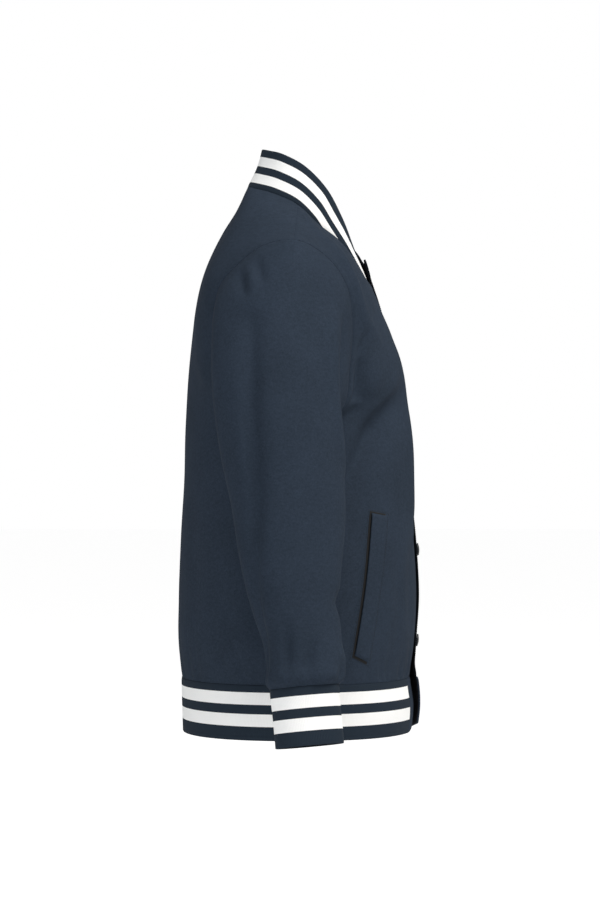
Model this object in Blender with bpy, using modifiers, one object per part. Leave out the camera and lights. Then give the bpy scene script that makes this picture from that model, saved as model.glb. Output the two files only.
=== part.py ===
"""A varsity jacket, filled out and fastened, with no wearer inside.

Metres, +Z up. The front faces -Y and the jacket's own left side is +X. The origin lies between
the two shoulder seams, where the wearer's shoulders carry the jacket.

Every cloth piece is an open surface with a Solidify wall. A half panel of the body is a patch
with four sides: hem, side seam and armhole, shoulder seam, centre line and neckline. Each of its
rows is one cubic Bezier arc from the inner edge to the outer edge. A sleeve is a set of rings
that grows out of the armhole loop. Lengths in the tables are millimetres.
"""

import math

import bpy
import numpy as np

MM = 0.001
TAU = 2 * math.pi

# Driving sizes, in millimetres
SHELL_WALL = 1.6
RIB_WALL = 2.6
SEAM_GAP = 0.3
HEM_SEAM_Z = -541.0
HEM_Z = -605.5
UNDERARM_Z = -243.0
LAP = 15.0  # how far each front runs past the centre line
LAP_LIFT_SHELL = 2.6  # how far the left front lies in front of the right one
LAP_LIFT_RIB = 3.5
END_BLOCK = 52.0  # centre line to the seam where the striped rib starts
END_BLOCK_LIFT = 9.0  # how far the block's free corner is drawn up
CORNER_POWER = 1.5  # how late along the block its lower edge begins to rise
COLLAR_HOLLOW = 3.0  # the collar's back is this hollow between its seam and its top
CAP_RADIUS = 7.5
CAP_RIM = 0.9
CAP_HEIGHT = 3.0
SNAP_TOP_Z = -171.0
SNAP_SPACING = 109.0
SNAP_COUNT = 4
SNAP_SEATING = 0.3  # extra room under a flat cap on a curved front
WELT_WALL = 1.6
WELT_EASE = 0.3  # the welt spans the panel's facets
WELT_LIFT = SHELL_WALL / 2 + SEAM_GAP + WELT_EASE + WELT_WALL / 2

# Centre-front and centre-back lines: height, depth (y). The front line stops at the neck.
FRONT_LINE = {
    "z": (-607, -575, -541, -505, -450, -380, -300, -222, -157, -114, -90, -71),
    "y": (-132, -134.5, -130.5, -135, -138.5, -135.5, -127, -120, -109.5, -96.5, -88.5, -81),
}
BACK_LINE = {
    "z": (-607, -575, -541, -500, -450, -330, -222, -150, -100, -42, -10, 18, 45),
    "y": (139, 140, 141, 144.5, 144.5, 139.5, 135, 130.5, 124, 107.5, 92, 74.5, 62),
}
# Side seam, from the hem to the underarm: height, distance from the centre, depth
SIDE_LINE = {
    "z": (-607, -575, -541, -500, -430, -330, -243),
    "x": (182, 185, 185, 190, 191, 187, 178),
    "y": (4, 4, 4, 4, 5, 9, 14),
}
# Neckline, from centre back over the shoulder seam to centre front
NECKLINE = {
    "x": (0, 38, 64, 73, 70, 56, 31, 0),
    "y": (62, 54, 30, 3, -22, -48, -69, -81),
    "z": (45, 41, 33, 20, -3, -23, -50, -71),
}
NECK_SHOULDER_ROW = 3
# Armhole, from the shoulder tip down the front, through the underarm and up the back
ARMHOLE = {
    "x": (205, 188, 172, 163, 166, 172, 178, 176, 171, 169, 173, 186, 197),
    "y": (7, -30, -54, -61, -58, -50, 14, 52, 80, 95, 94, 68, 40),
    "z": (-29, -47, -80, -128, -170, -216, -243, -233, -195, -140, -84, -53, -34),
}
UNDERARM_ROW = 6
# The collar's top edge, at the same shares of the neckline
COLLAR_TOP = {
    "x": (0, 32, 54, 60, 57, 44, 24, 0),
    "y": (44.5, 35.5, 18, -6, -31, -49, -62.5, -72),
    "z": (90.0, 86.5, 80, 66, 40, 7, -27, -49.5),
}
# How each front and the back leave their inner edge and reach their outer edge.
# up: share of the way from the hem to the shoulder seam; reach, lead and fall: length, outward
# angle and downward angle of the arc's first handle; pull, turn and rise: length of its last
# handle, its turn from the cross direction towards the depth, and its upward angle.
FRONT_ROWS = {
    "up": (0.0, 0.3, 0.5, 0.62, 0.76, 0.88, 1.0),
    "reach": (112, 112, 105, 92, 74, 56, 43),
    "lead": (2.5, 2.5, 2.5, 2.5, 2.5, 0, 0),
    "fall": (0, 0, 1, 2, 3, 14, 20),
    "pull": (84, 86, 86, 62, 50, 44, 43),
    "turn": (90, 90, 88, 68, 52, 28, 0),
    "rise": (0, 0, 4, 10, 16, 20, 20),
}
BACK_ROWS = {
    "up": (0.0, 0.3, 0.5, 0.64, 0.78, 0.9, 1.0),
    "reach": (112, 112, 108, 104, 92, 60, 43),
    "lead": (0, 0, 0, 0, 0, 0, 0),
    "fall": (0, 0, 1, 3, 8, 16, 20),
    "pull": (84, 86, 80, 56, 50, 44, 43),
    "turn": (90, 90, 86, 66, 46, 24, 0),
    "rise": (0, 0, 2, 8, 16, 20, 20),
}
FRONT_UNDERARM_UP = 0.52
FRONT_NECK_UP = 0.76
BACK_UNDERARM_UP = 0.52
BACK_NECK_UP = 0.86
# Sleeve rings from the cuff up to the cap: height, centre, half width across, half width
# front to back
SLEEVE_RINGS = {
    "z": (-537.0, -510, -480, -455, -424, -380, -330, -265),
    "x": (277, 273.5, 269.5, 266, 262, 256, 249, 240),
    "y": (-5, -4, -1, 4, 7.5, 10, 13, 22),
    "across": (33, 38, 39.5, 42, 46, 49, 52, 56),
    "along": (39.5, 43.5, 44.5, 47.5, 53, 59.5, 64.5, 68),
}
# Cuff rings from the hand up
CUFF_RINGS = {
    "z": (-603, -580, -555, -538.5),
    "x": (286, 282.5, 279, 277.2),
    "y": (-11, -9, -6.5, -5),
    "across": (29.5, 29.5, 30, 31.5),
    "along": (37.3, 37.3, 37.5, 38.3),
}
RING_SLOPE_X = 0.11  # a ring's outer side lies higher than its inner side
RING_SLOPE_Y = -0.09  # and its front higher than its back
# How the sleeve leaves the armhole: share of the loop, direction, handle shares, clearance
CAP_LEAVING = {
    "share": (0.0, 0.25, 0.5, 0.75, 1.0),
    "out": (0.82, 0.84, 0.75, 0.86, 0.82),
    "back": (0.02, 0.14, 0.0, 0.06, 0.02),
    "down": (0.57, 0.52, 0.66, 0.5, 0.57),
    "handle": (0.32, 0.36, 0.3, 0.36, 0.32),
    "clear": (0.7, 1.6, 4.0, 2.2, 0.7),
}
TRIM = 0.0009  # share of a panel left off at each seam, for the seam gaps
BLOCK_TRIM = 0.0006  # share of the girth left off at each side of the end block's seam
CAP_ARRIVAL = 5.0  # depth below the first ring from which the cap takes its direction there
# The left front's free edge stands off towards the hem and at the collar
EDGE_FLARE = {
    "z": (-607, -575, -541, -525, -512, -440, -171, -110, -71, -48),
    "out": (3.4, 4.6, 6.2, 2.2, 0.8, 0.4, 0.2, 0.4, 1.4, 3.0),
}
FLARE_REACH = (16.0, -15.0)
# The lift of the overlap grows between these distances from the centre line
LAP_EASE = {
    "z": (-607, -200, -140, -75, -48, -20),
    "from": (60, 60, 60, 50, 32, 28),
    "to": (24, 24, 24, 26, 15, 13),
}
# How far back the front edge leans at the neck, in radians
FRONT_LEAN = {"z": (-607, -222, -114, -48), "angle": (0.0, 0.1, 0.32, 0.38)}
# The pocket welt's corners on its front panel: share across from the edge, share up
WELT_CORNERS = {
    "top_front": (0.485, 0.325),
    "top_side": (0.588, 0.335),
    "low_front": (0.628, 0.043),
    "low_side": (0.710, 0.058),
}
# The largest folds: panel, its path's start, middle and end as shares of the panel, half width,
# height (a trough is negative)
FOLDS = {
    "chest": ("front", (0.32, 0.30), (0.31, 0.50), (0.38, 0.68), 46.0, 9.0),
    "lap_roll": ("front", (0.19, 0.30), (0.185, 0.46), (0.20, 0.66), 28.0, 8.2),
    "neck_to_armhole": ("front", (0.10, 0.99), (0.86, 0.87), (0.63, 0.72), 15.0, 4.0),
    "armhole_hollow": ("front", (0.97, 0.72), (0.90, 0.66), (0.80, 0.60), 17.0, -7.5),
    "bust_drag": ("front", (0.15, 0.56), (0.54, 0.48), (0.76, 0.36), 17.0, -5.0),
    "sleeve_front_ridge": ("sleeve", (0.13, 0.12), (0.175, 0.26), (0.25, 0.42), 13.0, 4.2),
    "sleeve_front_hollow": ("sleeve", (0.18, 0.07), (0.235, 0.18), (0.30, 0.32), 14.0, -6.5),
    "sleeve_long_trough": ("sleeve", (0.927, 0.16), (0.90, 0.50), (0.76, 0.95), 15.0, -5.5),
    "cap_pucker_high": ("sleeve", (0.917, 0.01), (0.930, 0.045), (0.945, 0.09), 7.0, -3.6),
    "cap_pucker_low": ("sleeve", (0.873, 0.01), (0.890, 0.05), (0.907, 0.10), 8.0, -3.6),
    "elbow_dip": ("sleeve", (0.17, 0.77), (0.25, 0.785), (0.33, 0.77), 12.0, -4.6),
    "cuff_bulge": ("sleeve", (0.17, 0.925), (0.25, 0.935), (0.33, 0.925), 11.0, 2.6),
    "back_blouse": ("back", (0.05, 0.08), (0.50, 0.075), (0.92, 0.08), 26.0, 1.6),
}
FADE_START = 0.08  # where along a half sine a fold's first and last point stand
FADE_POWER = 0.6
LAP_CLEAR = (0.11, 0.20)  # shares across a front between which its folds begin

# Grid steps
SIDE_ROWS = 8  # hem to underarm
CHEST_ROWS = 6  # underarm to neck
NECK_ROWS = 9  # neck to shoulder seam
FRONT_COLUMNS = 11
BACK_COLUMNS = 10  # centre back to side seam
SLEEVE_AROUND = 20
CAP_ROWS = 6
TUBE_ROWS = 11
BAND_ROWS = 3
HEM_COLUMNS = 42
END_COLUMNS = 4
COLLAR_COLUMNS = 36
WELT_ROWS = 10
WELT_COLUMNS = 2
CAP_STEPS = 14
CAP_ARC_POINTS = 4
PATH_POINTS = 25  # on the path of a fold
SEARCH_POINTS = 400  # along a row when the place at a wanted distance is looked up

# sRGB colours
SHELL_COLOUR = (0.192, 0.227, 0.275)
RIB_COLOUR = (0.135, 0.165, 0.205)
SNAP_COLOUR = (0.085, 0.1, 0.13)


def through(knots, values, at):
    """Smooth curve through the values at the knots: cubic Hermite, slopes from the neighbours."""
    knots = np.asarray(knots, float)
    values = np.asarray(values, float).reshape(len(knots), -1)
    slopes = np.gradient(values, knots, axis=0)
    at = np.clip(np.asarray(at, float), knots[0], knots[-1])
    low = np.clip(np.searchsorted(knots, at, side="right") - 1, 0, len(knots) - 2)
    span = (knots[low + 1] - knots[low])[..., None]
    s = (at - knots[low])[..., None] / span
    curve = (
        (2 * s**3 - 3 * s**2 + 1) * values[low]
        + (s**3 - 2 * s**2 + s) * span * slopes[low]
        + (3 * s**2 - 2 * s**3) * values[low + 1]
        + (s**3 - s**2) * span * slopes[low + 1]
    )
    return curve[..., 0] if curve.shape[-1] == 1 else curve


def column(table, key, name, at):
    """One named column of a table, read smoothly at values of its key column."""
    return through(table[key], table[name], at)


def stacked(table):
    return np.stack([np.asarray(table[axis], float) for axis in ("x", "y", "z")], axis=-1)


def chord_shares(points):
    """Share of the length at each point of a path."""
    steps = np.linalg.norm(np.diff(points, axis=0), axis=1)
    return np.concatenate([[0], np.cumsum(steps)]) / steps.sum()


def ease(start, end, at):
    """0 at start, 1 at end, level at both."""
    s = np.clip((np.asarray(at, float) - start) / (end - start), 0, 1)
    return s * s * (3 - 2 * s)


# Closed loops are read through a few extra knots on each side, so that they close smoothly.
ARM_POINTS = stacked(ARMHOLE)
ARM_SHARES = chord_shares(np.vstack([ARM_POINTS, ARM_POINTS[:1]]))
UNDERARM_SHARE = ARM_SHARES[UNDERARM_ROW]
NECK_POINTS = stacked(NECKLINE)
NECK_SHARES = chord_shares(NECK_POINTS)
NECK_SHOULDER = NECK_SHARES[NECK_SHOULDER_ROW]
MIRROR_X = np.array([-1.0, 1.0, 1.0])


def armhole(share):
    """A point of the left armhole seam at a share of the loop, 0 at the shoulder tip."""
    wrapped = np.vstack([ARM_POINTS[-3:], ARM_POINTS, ARM_POINTS[:4]])
    ends = ARM_SHARES[:-1]
    knots = np.concatenate([ends[-3:] - 1, ends, ends[:4] + 1])
    return through(knots, wrapped, share)


def across_middle(points, share):
    """A curve given from centre back to centre front, continued past both as its mirror image."""
    before = points[2:0:-1] * MIRROR_X
    after = points[-2:-4:-1] * MIRROR_X
    knots = np.concatenate([-NECK_SHARES[2:0:-1], NECK_SHARES, 2 - NECK_SHARES[-2:-4:-1]])
    return through(knots, np.vstack([before, points, after]), share)


def neckline(share):
    """A point of the left neck seam: 0 at centre back, 1 at centre front, past 1 on the right."""
    return across_middle(NECK_POINTS, share)


LAP_SHARE = 1 + LAP / np.linalg.norm(np.diff(NECK_POINTS, axis=0), axis=1).sum()


def centre_line(table, z, x=0.0):
    y = column(table, "z", "y", z)
    return np.stack([np.full_like(y, x), y, np.asarray(z, float)], axis=-1)


def side_seam(z):
    x = column(SIDE_LINE, "z", "x", z)
    y = column(SIDE_LINE, "z", "y", z)
    return np.stack([x, y, np.asarray(z, float)], axis=-1)


def two_parts(up, corner, low_part, high_part):
    """An edge in two parts that meet at a corner: each part is a function of its own 0 to 1."""
    below = low_part(np.clip(up / corner, 0, 1))
    above = high_part(np.clip((up - corner) / (1 - corner), 0, 1))
    return np.where((up <= corner)[..., None], below, above)


def between(start, end, share):
    return start + (end - start) * share


def front_inner(up):
    """The left front's edge, LAP past the centre line, then the neckline to the shoulder."""
    return two_parts(
        up,
        FRONT_NECK_UP,
        lambda s: centre_line(FRONT_LINE, between(HEM_SEAM_Z, NECK_POINTS[-1][2], s), -LAP),
        lambda s: neckline(between(LAP_SHARE, NECK_SHOULDER, s)),
    )


def back_inner(up):
    return two_parts(
        up,
        BACK_NECK_UP,
        lambda s: centre_line(BACK_LINE, between(HEM_SEAM_Z, NECK_POINTS[0][2], s)),
        lambda s: neckline(between(0.0, NECK_SHOULDER, s)),
    )


def outer_edge(up, corner, tip_share):
    return two_parts(
        up,
        corner,
        lambda s: side_seam(between(HEM_SEAM_Z, UNDERARM_Z, s)),
        lambda s: armhole(between(UNDERARM_SHARE, tip_share, s)),
    )


def arc(start, end, rows, up, across, towards):
    """Cubic Bezier from start to end; towards is -1 for the front and +1 for the back."""
    lead = np.radians(column(rows, "up", "lead", up))
    fall = np.radians(column(rows, "up", "fall", up))
    turn = np.radians(column(rows, "up", "turn", up))
    rise = np.radians(column(rows, "up", "rise", up))
    leave = np.stack([np.cos(fall), towards * np.sin(lead), -np.sin(fall)], axis=-1)
    reach_end = np.stack(
        [-np.cos(turn) * np.cos(rise), towards * np.sin(turn) * np.cos(rise), np.sin(rise)],
        axis=-1,
    )
    first = start + column(rows, "up", "reach", up)[..., None] * leave
    second = end + column(rows, "up", "pull", up)[..., None] * reach_end
    s = across[..., None]
    return (
        (1 - s) ** 3 * start
        + 3 * (1 - s) ** 2 * s * first
        + 3 * (1 - s) * s**2 * second
        + s**3 * end
    )


def front_surface(across, up):
    """The left front: across 0 at its edge, 1 at side seam and armhole; up 0 hem, 1 shoulder."""
    end = outer_edge(up, FRONT_UNDERARM_UP, 0.0)
    return arc(front_inner(up), end, FRONT_ROWS, up, across, -1)


def back_surface(across, up):
    """The left half of the back: across 0 at centre back and neckline."""
    end = outer_edge(up, BACK_UNDERARM_UP, 1.0)
    return arc(back_inner(up), end, BACK_ROWS, up, across, 1)


def ring(table, angle, z):
    """A point of a tube's ring: angle 0 outside, a quarter turn on at the front."""
    out = column(table, "z", "across", z) * np.cos(angle)
    ahead = -column(table, "z", "along", z) * np.sin(angle)
    x = column(table, "z", "x", z) + out
    y = column(table, "z", "y", z) + ahead
    return np.stack([x, y, z + RING_SLOPE_X * out + RING_SLOPE_Y * ahead], axis=-1)


CAP_PART = CAP_ROWS / (CAP_ROWS + TUBE_ROWS)


def sleeve_surface(around, down):
    """The left sleeve: around 0 at the top, down 0 at the armhole, 1 at the cuff."""
    top_z = SLEEVE_RINGS["z"][-1]
    low_z = SLEEVE_RINGS["z"][0]
    angle = TAU * around
    tube_z = between(top_z, low_z, np.clip((down - CAP_PART) / (1 - CAP_PART), 0, 1))
    tube = ring(SLEEVE_RINGS, angle, tube_z)
    leave = np.stack(
        [column(CAP_LEAVING, "share", name, around) for name in ("out", "back", "down")], axis=-1
    )
    leave[..., 2] *= -1
    start = armhole(around) + column(CAP_LEAVING, "share", "clear", around)[..., None] * leave
    end = ring(SLEEVE_RINGS, angle, np.full_like(around, top_z))
    below = ring(SLEEVE_RINGS, angle, np.full_like(around, top_z - CAP_ARRIVAL))
    arrive = (below - end) / np.linalg.norm(below - end, axis=-1, keepdims=True)
    length = np.linalg.norm(end - start, axis=-1, keepdims=True)
    handle = column(CAP_LEAVING, "share", "handle", around)[..., None] * length
    s = np.clip(down / CAP_PART, 0, 1)[..., None]
    cap = (
        (1 - s) ** 3 * start
        + 3 * (1 - s) ** 2 * s * (start + handle * leave)
        + 3 * (1 - s) * s**2 * (end - handle * arrive)
        + s**3 * end
    )
    return np.where((down < CAP_PART)[..., None], cap, tube)


SURFACES = {"front": front_surface, "back": back_surface, "sleeve": sleeve_surface}


def outward(surface, across, up):
    """Unit normal of a surface, from two small steps."""
    step = 1e-3
    base = surface(across, up)
    inward_step = np.where(across > 0.5, -step, step)
    down_step = np.where(up > 0.5, -step, step)
    side = (surface(across + inward_step, up) - base) * np.sign(inward_step)[..., None]
    rise = (surface(across, up + down_step) - base) * np.sign(down_step)[..., None]
    normal = np.cross(side, rise)
    return normal / np.maximum(np.linalg.norm(normal, axis=-1, keepdims=True), 1e-12)


def fold_height(panel, points):
    """Sum of the panel's folds at its points: a bell across each path, fading at its ends."""
    total = np.zeros(points.shape[:-1])
    s = np.linspace(0, 1, PATH_POINTS)[:, None]
    for fold_panel, start, middle, end, half_width, height in FOLDS.values():
        if fold_panel != panel:
            continue
        start, middle, end = map(np.array, (start, middle, end))
        handle = 2 * middle - (start + end) / 2
        shares = (1 - s) ** 2 * start + 2 * s * (1 - s) * handle + s**2 * end
        path = SURFACES[panel](shares[:, 0], shares[:, 1])
        gaps = np.linalg.norm(points[..., None, :] - path, axis=-1)
        along = gaps.argmin(axis=-1) / (PATH_POINTS - 1)
        fade = np.sin(math.pi * (FADE_START + (1 - 2 * FADE_START) * along)) ** FADE_POWER
        total += height * fade * np.exp(-((gaps.min(axis=-1) / half_width) ** 2))
    return total


def folded(panel, across, up):
    """The panel's surface with its folds raised along its normal, flat at its seams."""
    points = SURFACES[panel](across, up)
    side = outward(SURFACES[panel], across, up)
    if panel == "sleeve":
        seam = ease(0, 0.05, up) * ease(1, 0.97, up)
    else:
        seam = ease(1, 0.93, across) * ease(0, 0.03, up) * ease(1, 0.96, up)
    if panel == "front":
        seam = seam * ease(*LAP_CLEAR, across)
    if panel == "back":
        side = -side
    return points + (seam * fold_height(panel, points))[..., None] * side


def lap_lift(points, lift):
    """The left side's points, with its overlap lifted to lie in front of the right side's."""
    lap_from = column(LAP_EASE, "z", "from", points[..., 2])
    lap_to = column(LAP_EASE, "z", "to", points[..., 2])
    over = lift * ease(lap_from, lap_to, points[..., 0])
    flare = column(EDGE_FLARE, "z", "out", points[..., 2]) * ease(*FLARE_REACH, points[..., 0])
    slope = column(FRONT_LEAN, "z", "angle", points[..., 2])
    ahead = np.stack([np.zeros_like(slope), -np.cos(slope), np.sin(slope)], axis=-1)
    facing = (points[..., 1] < 0) * (over + flare)
    return points + facing[..., None] * ahead


def panel_grid(columns, underarm_up, neck_up):
    """Shares across and up a body panel, with rows at its corners and a trim for the seam gaps."""
    up = np.concatenate(
        [
            np.linspace(0, underarm_up, SIDE_ROWS, endpoint=False),
            np.linspace(underarm_up, neck_up, CHEST_ROWS, endpoint=False),
            np.linspace(neck_up, 1, NECK_ROWS + 1),
        ]
    )
    return np.meshgrid(np.clip(columns, TRIM, 1 - TRIM), np.clip(up, TRIM, 1 - TRIM))


def material(name, colour, roughness, metallic=0.0):
    made = bpy.data.materials.new(name)
    made.use_nodes = True
    shader = made.node_tree.nodes["Principled BSDF"]
    linear = [c / 12.92 if c <= 0.04045 else ((c + 0.055) / 1.055) ** 2.4 for c in colour]
    shader.inputs["Base Color"].default_value = (*linear, 1)
    shader.inputs["Roughness"].default_value = roughness
    shader.inputs["Metallic"].default_value = metallic
    return made


def sheet_object(name, points, wall, cloth, collection, closed=False, mirrored=False):
    """An open sheet from a grid of points in millimetres, thickened both ways to its wall.

    A mirrored sheet is a left half that meets its mirror image along the centre line.
    """
    rows, columns = points.shape[:2]
    index = np.arange(rows * columns).reshape(rows, columns)
    if closed:
        index = np.hstack([index, index[:, :1]])
    faces = np.stack([index[:-1, :-1], index[:-1, 1:], index[1:, 1:], index[1:, :-1]], axis=-1)
    mesh = bpy.data.meshes.new(name)
    mesh.from_pydata((points.reshape(-1, 3) * MM).tolist(), [], faces.reshape(-1, 4).tolist())
    mesh.validate()
    mesh.shade_smooth()
    mesh.materials.append(cloth)
    made = bpy.data.objects.new(name, mesh)
    collection.objects.link(made)
    if mirrored:
        mirror = made.modifiers.new("Other half", "MIRROR")
        mirror.merge_threshold = 1e-5
    wall_modifier = made.modifiers.new("Wall", "SOLIDIFY")
    wall_modifier.thickness = wall * MM
    wall_modifier.offset = 0
    return made


def both_sides(name, points, wall, cloth, collection, closed=False):
    """The piece on the left and its mirror image on the right, both facing out."""
    sheet_object(name + "_left", points, wall, cloth, collection, closed)
    mirrored = (points * MIRROR_X)[:, ::-1]
    sheet_object(name + "_right", mirrored, wall, cloth, collection, closed)


def left_front(across, up):
    return lap_lift(folded("front", across, up), LAP_LIFT_SHELL)


def make_fronts(cloth, collection):
    columns = np.concatenate([[0, LAP_CLEAR[0]], np.linspace(LAP_CLEAR[1], 1, FRONT_COLUMNS - 1)])
    across, up = panel_grid(columns, FRONT_UNDERARM_UP, FRONT_NECK_UP)
    points = folded("front", across, up)
    sheet_object("front_left", left_front(across, up), SHELL_WALL, cloth, collection)
    sheet_object("front_right", (points * MIRROR_X)[:, ::-1], SHELL_WALL, cloth, collection)


def make_back(cloth, collection):
    columns = np.linspace(0, 1, BACK_COLUMNS + 1)
    across, up = panel_grid(columns, BACK_UNDERARM_UP, BACK_NECK_UP)
    points = folded("back", across, up)
    seam_rows = up[:, 0] <= BACK_NECK_UP
    points[seam_rows, 0, 0] = 0.0
    sheet_object("back", points[:, ::-1], SHELL_WALL, cloth, collection, mirrored=True)


def make_sleeves(cloth, collection):
    around = np.arange(SLEEVE_AROUND) / SLEEVE_AROUND
    down = np.linspace(0, 1, CAP_ROWS + TUBE_ROWS + 1)
    points = folded("sleeve", *np.meshgrid(around, down))
    both_sides("sleeve", points, SHELL_WALL, cloth, collection, closed=True)


def make_cuffs(cloth, collection):
    around = np.arange(SLEEVE_AROUND) / SLEEVE_AROUND
    z = np.linspace(CUFF_RINGS["z"][-1], CUFF_RINGS["z"][0], BAND_ROWS + 1)
    angle, height = np.meshgrid(TAU * around, z)
    both_sides("cuff", ring(CUFF_RINGS, angle, height), RIB_WALL, cloth, collection, closed=True)


def girth(share, z):
    """The body's outline at a height: -1 at the right front's edge, 0 centre back, 1 left edge."""
    side = np.abs(share)
    end = side_seam(z)
    up = np.zeros_like(side)
    front = arc(centre_line(FRONT_LINE, z, -LAP), end, FRONT_ROWS, up, 2 - 2 * side, -1)
    back = arc(centre_line(BACK_LINE, z), end, BACK_ROWS, up, 2 * side, 1)
    half = np.where((side > 0.5)[..., None], front, back)
    return np.where((share < 0)[..., None], half * MIRROR_X, half)


def end_share():
    """The share of the girth at which the striped rib meets its end block."""
    shares = np.linspace(0.5, 1, SEARCH_POINTS)
    x = girth(shares, np.full_like(shares, HEM_SEAM_Z))[:, 0]
    return shares[np.abs(x - END_BLOCK).argmin()]


def make_hem(rib, cloth, collection):
    block = end_share()
    top = HEM_SEAM_Z - SEAM_GAP
    heights = np.linspace(top, HEM_Z, BAND_ROWS + 1)
    reach = block - BLOCK_TRIM
    share, z = np.meshgrid(np.linspace(-reach, reach, HEM_COLUMNS + 1), heights)
    band = girth(share, z)
    band = np.where((share > 0)[..., None], lap_lift(band, LAP_LIFT_RIB), band)
    sheet_object("hem_band", band[:, ::-1], RIB_WALL, rib, collection)
    rounding = np.linspace(0, 1, END_COLUMNS + 1) ** CORNER_POWER
    for side, name in ((1, "hem_end_left"), (-1, "hem_end_right")):
        shares = np.linspace(block + BLOCK_TRIM, 1, END_COLUMNS + 1)
        share, level = np.meshgrid(side * shares, np.linspace(0, 1, BAND_ROWS + 1))
        z = top + level * (HEM_Z - top + END_BLOCK_LIFT * rounding)
        points = girth(share, z)
        if side > 0:
            points = lap_lift(points, LAP_LIFT_RIB)[:, ::-1]
        sheet_object(name, points, RIB_WALL, cloth, collection)


def collar_points(share, level):
    """The collar: share -1 to 1 from the right front end round the back to the left end."""
    side = np.abs(share)
    base = neckline(side)
    top = across_middle(stacked(COLLAR_TOP), side)
    rise = (top - base) / np.linalg.norm(top - base, axis=-1, keepdims=True)
    start = base + (SHELL_WALL / 2 + RIB_WALL / 2 + SEAM_GAP) * rise
    half = start + (top - start) * level[..., None]
    hollow = COLLAR_HOLLOW * np.sin(math.pi * level) * ease(0.6, 0.0, side)
    towards_neck = -base / np.linalg.norm(base, axis=-1, keepdims=True) * np.array([1, 1, 0])
    half = half + hollow[..., None] * towards_neck
    return np.where((share < 0)[..., None], half * MIRROR_X, half)


def make_collar(rib, collection):
    share, level = np.meshgrid(
        np.linspace(-LAP_SHARE, LAP_SHARE, COLLAR_COLUMNS + 1), np.linspace(0, 1, BAND_ROWS + 1)
    )
    points = collar_points(share, level)
    over = lap_lift(points, LAP_LIFT_RIB)
    points = np.where((share > 0)[..., None], over, points)
    sheet_object("collar", points, RIB_WALL, rib, collection)


def make_welts(cloth, collection):
    corner = {name: np.array(pair) for name, pair in WELT_CORNERS.items()}
    s, t = np.meshgrid(np.linspace(0, 1, WELT_COLUMNS + 1), np.linspace(0, 1, WELT_ROWS + 1))
    s = s[..., None]
    t = t[..., None]
    low = corner["low_front"] * (1 - s) + corner["low_side"] * s
    high = corner["top_front"] * (1 - s) + corner["top_side"] * s
    shares = low * (1 - t) + high * t
    across, up = shares[..., 0], shares[..., 1]
    points = folded("front", across, up)
    points = points + WELT_LIFT * outward(front_surface, across, up)
    both_sides("pocket_welt", points, WELT_WALL, cloth, collection)


def make_snaps(finish, collection):
    """Turned snap caps: a flat rim and a low dome, each square to the left front."""
    dome = np.linspace(0, 1, CAP_ARC_POINTS)
    radii = CAP_RADIUS * np.cos(dome * math.pi / 2)
    heights = CAP_RIM + (CAP_HEIGHT - CAP_RIM) * np.sin(dome * math.pi / 2)
    profile = [(r * MM, 0.0, h * MM) for r, h in zip(radii[::-1], heights[::-1])]
    profile += [(CAP_RADIUS * MM, 0.0, 0.0), (0.0, 0.0, 0.0)]
    for number in range(SNAP_COUNT):
        z = SNAP_TOP_Z - number * SNAP_SPACING
        up = FRONT_NECK_UP * (z - HEM_SEAM_Z) / (NECK_POINTS[-1][2] - HEM_SEAM_Z)
        shares = np.linspace(0, LAP_CLEAR[1], SEARCH_POINTS)
        row = left_front(shares, np.full_like(shares, up))
        nearest = np.abs(row[:, 0]).argmin()
        slope = outward(left_front, shares[nearest], np.array(up))
        mesh = bpy.data.meshes.new(f"snap_{number + 1}")
        edges = [(i, i + 1) for i in range(len(profile) - 1)]
        mesh.from_pydata(profile, edges, [])
        mesh.materials.append(finish)
        cap = bpy.data.objects.new(f"snap_{number + 1}", mesh)
        collection.objects.link(cap)
        turned = cap.modifiers.new("Turned", "SCREW")
        turned.steps = CAP_STEPS
        turned.render_steps = CAP_STEPS
        turned.use_merge_vertices = True
        turned.merge_threshold = 1e-5
        seat = row[nearest] + (SHELL_WALL / 2 + SEAM_GAP + SNAP_SEATING) * slope
        cap.location = tuple(seat * MM)
        tilt = math.atan2(slope[2], -slope[1])
        cap.rotation_euler = (math.pi / 2 - tilt, 0, 0)


def main():
    for old in list(bpy.data.objects):
        bpy.data.objects.remove(old)
    collection = bpy.data.collections.new("varsity_jacket")
    bpy.context.scene.collection.children.link(collection)
    cloth = material("shell_cloth", SHELL_COLOUR, 0.9)
    rib = material("rib_knit", RIB_COLOUR, 0.92)
    finish = material("snap_caps", SNAP_COLOUR, 0.5)
    make_back(cloth, collection)
    make_fronts(cloth, collection)
    make_sleeves(cloth, collection)
    make_cuffs(rib, collection)
    make_hem(rib, cloth, collection)
    make_collar(rib, collection)
    make_welts(cloth, collection)
    make_snaps(finish, collection)


main()
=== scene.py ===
# %% [markdown]
# # A varsity jacket, cut and sewn from sheets
#
# The jacket stands as if worn, with nobody inside. Each piece of cloth is one open sheet whose
# points are worked out with numpy, and a wall is then given to it. The lesson goes in the order
# of a sewing room: the pattern lines first, then the cloth, then the ribs, pockets and snaps.

# %% Load the frame
import math

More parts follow.
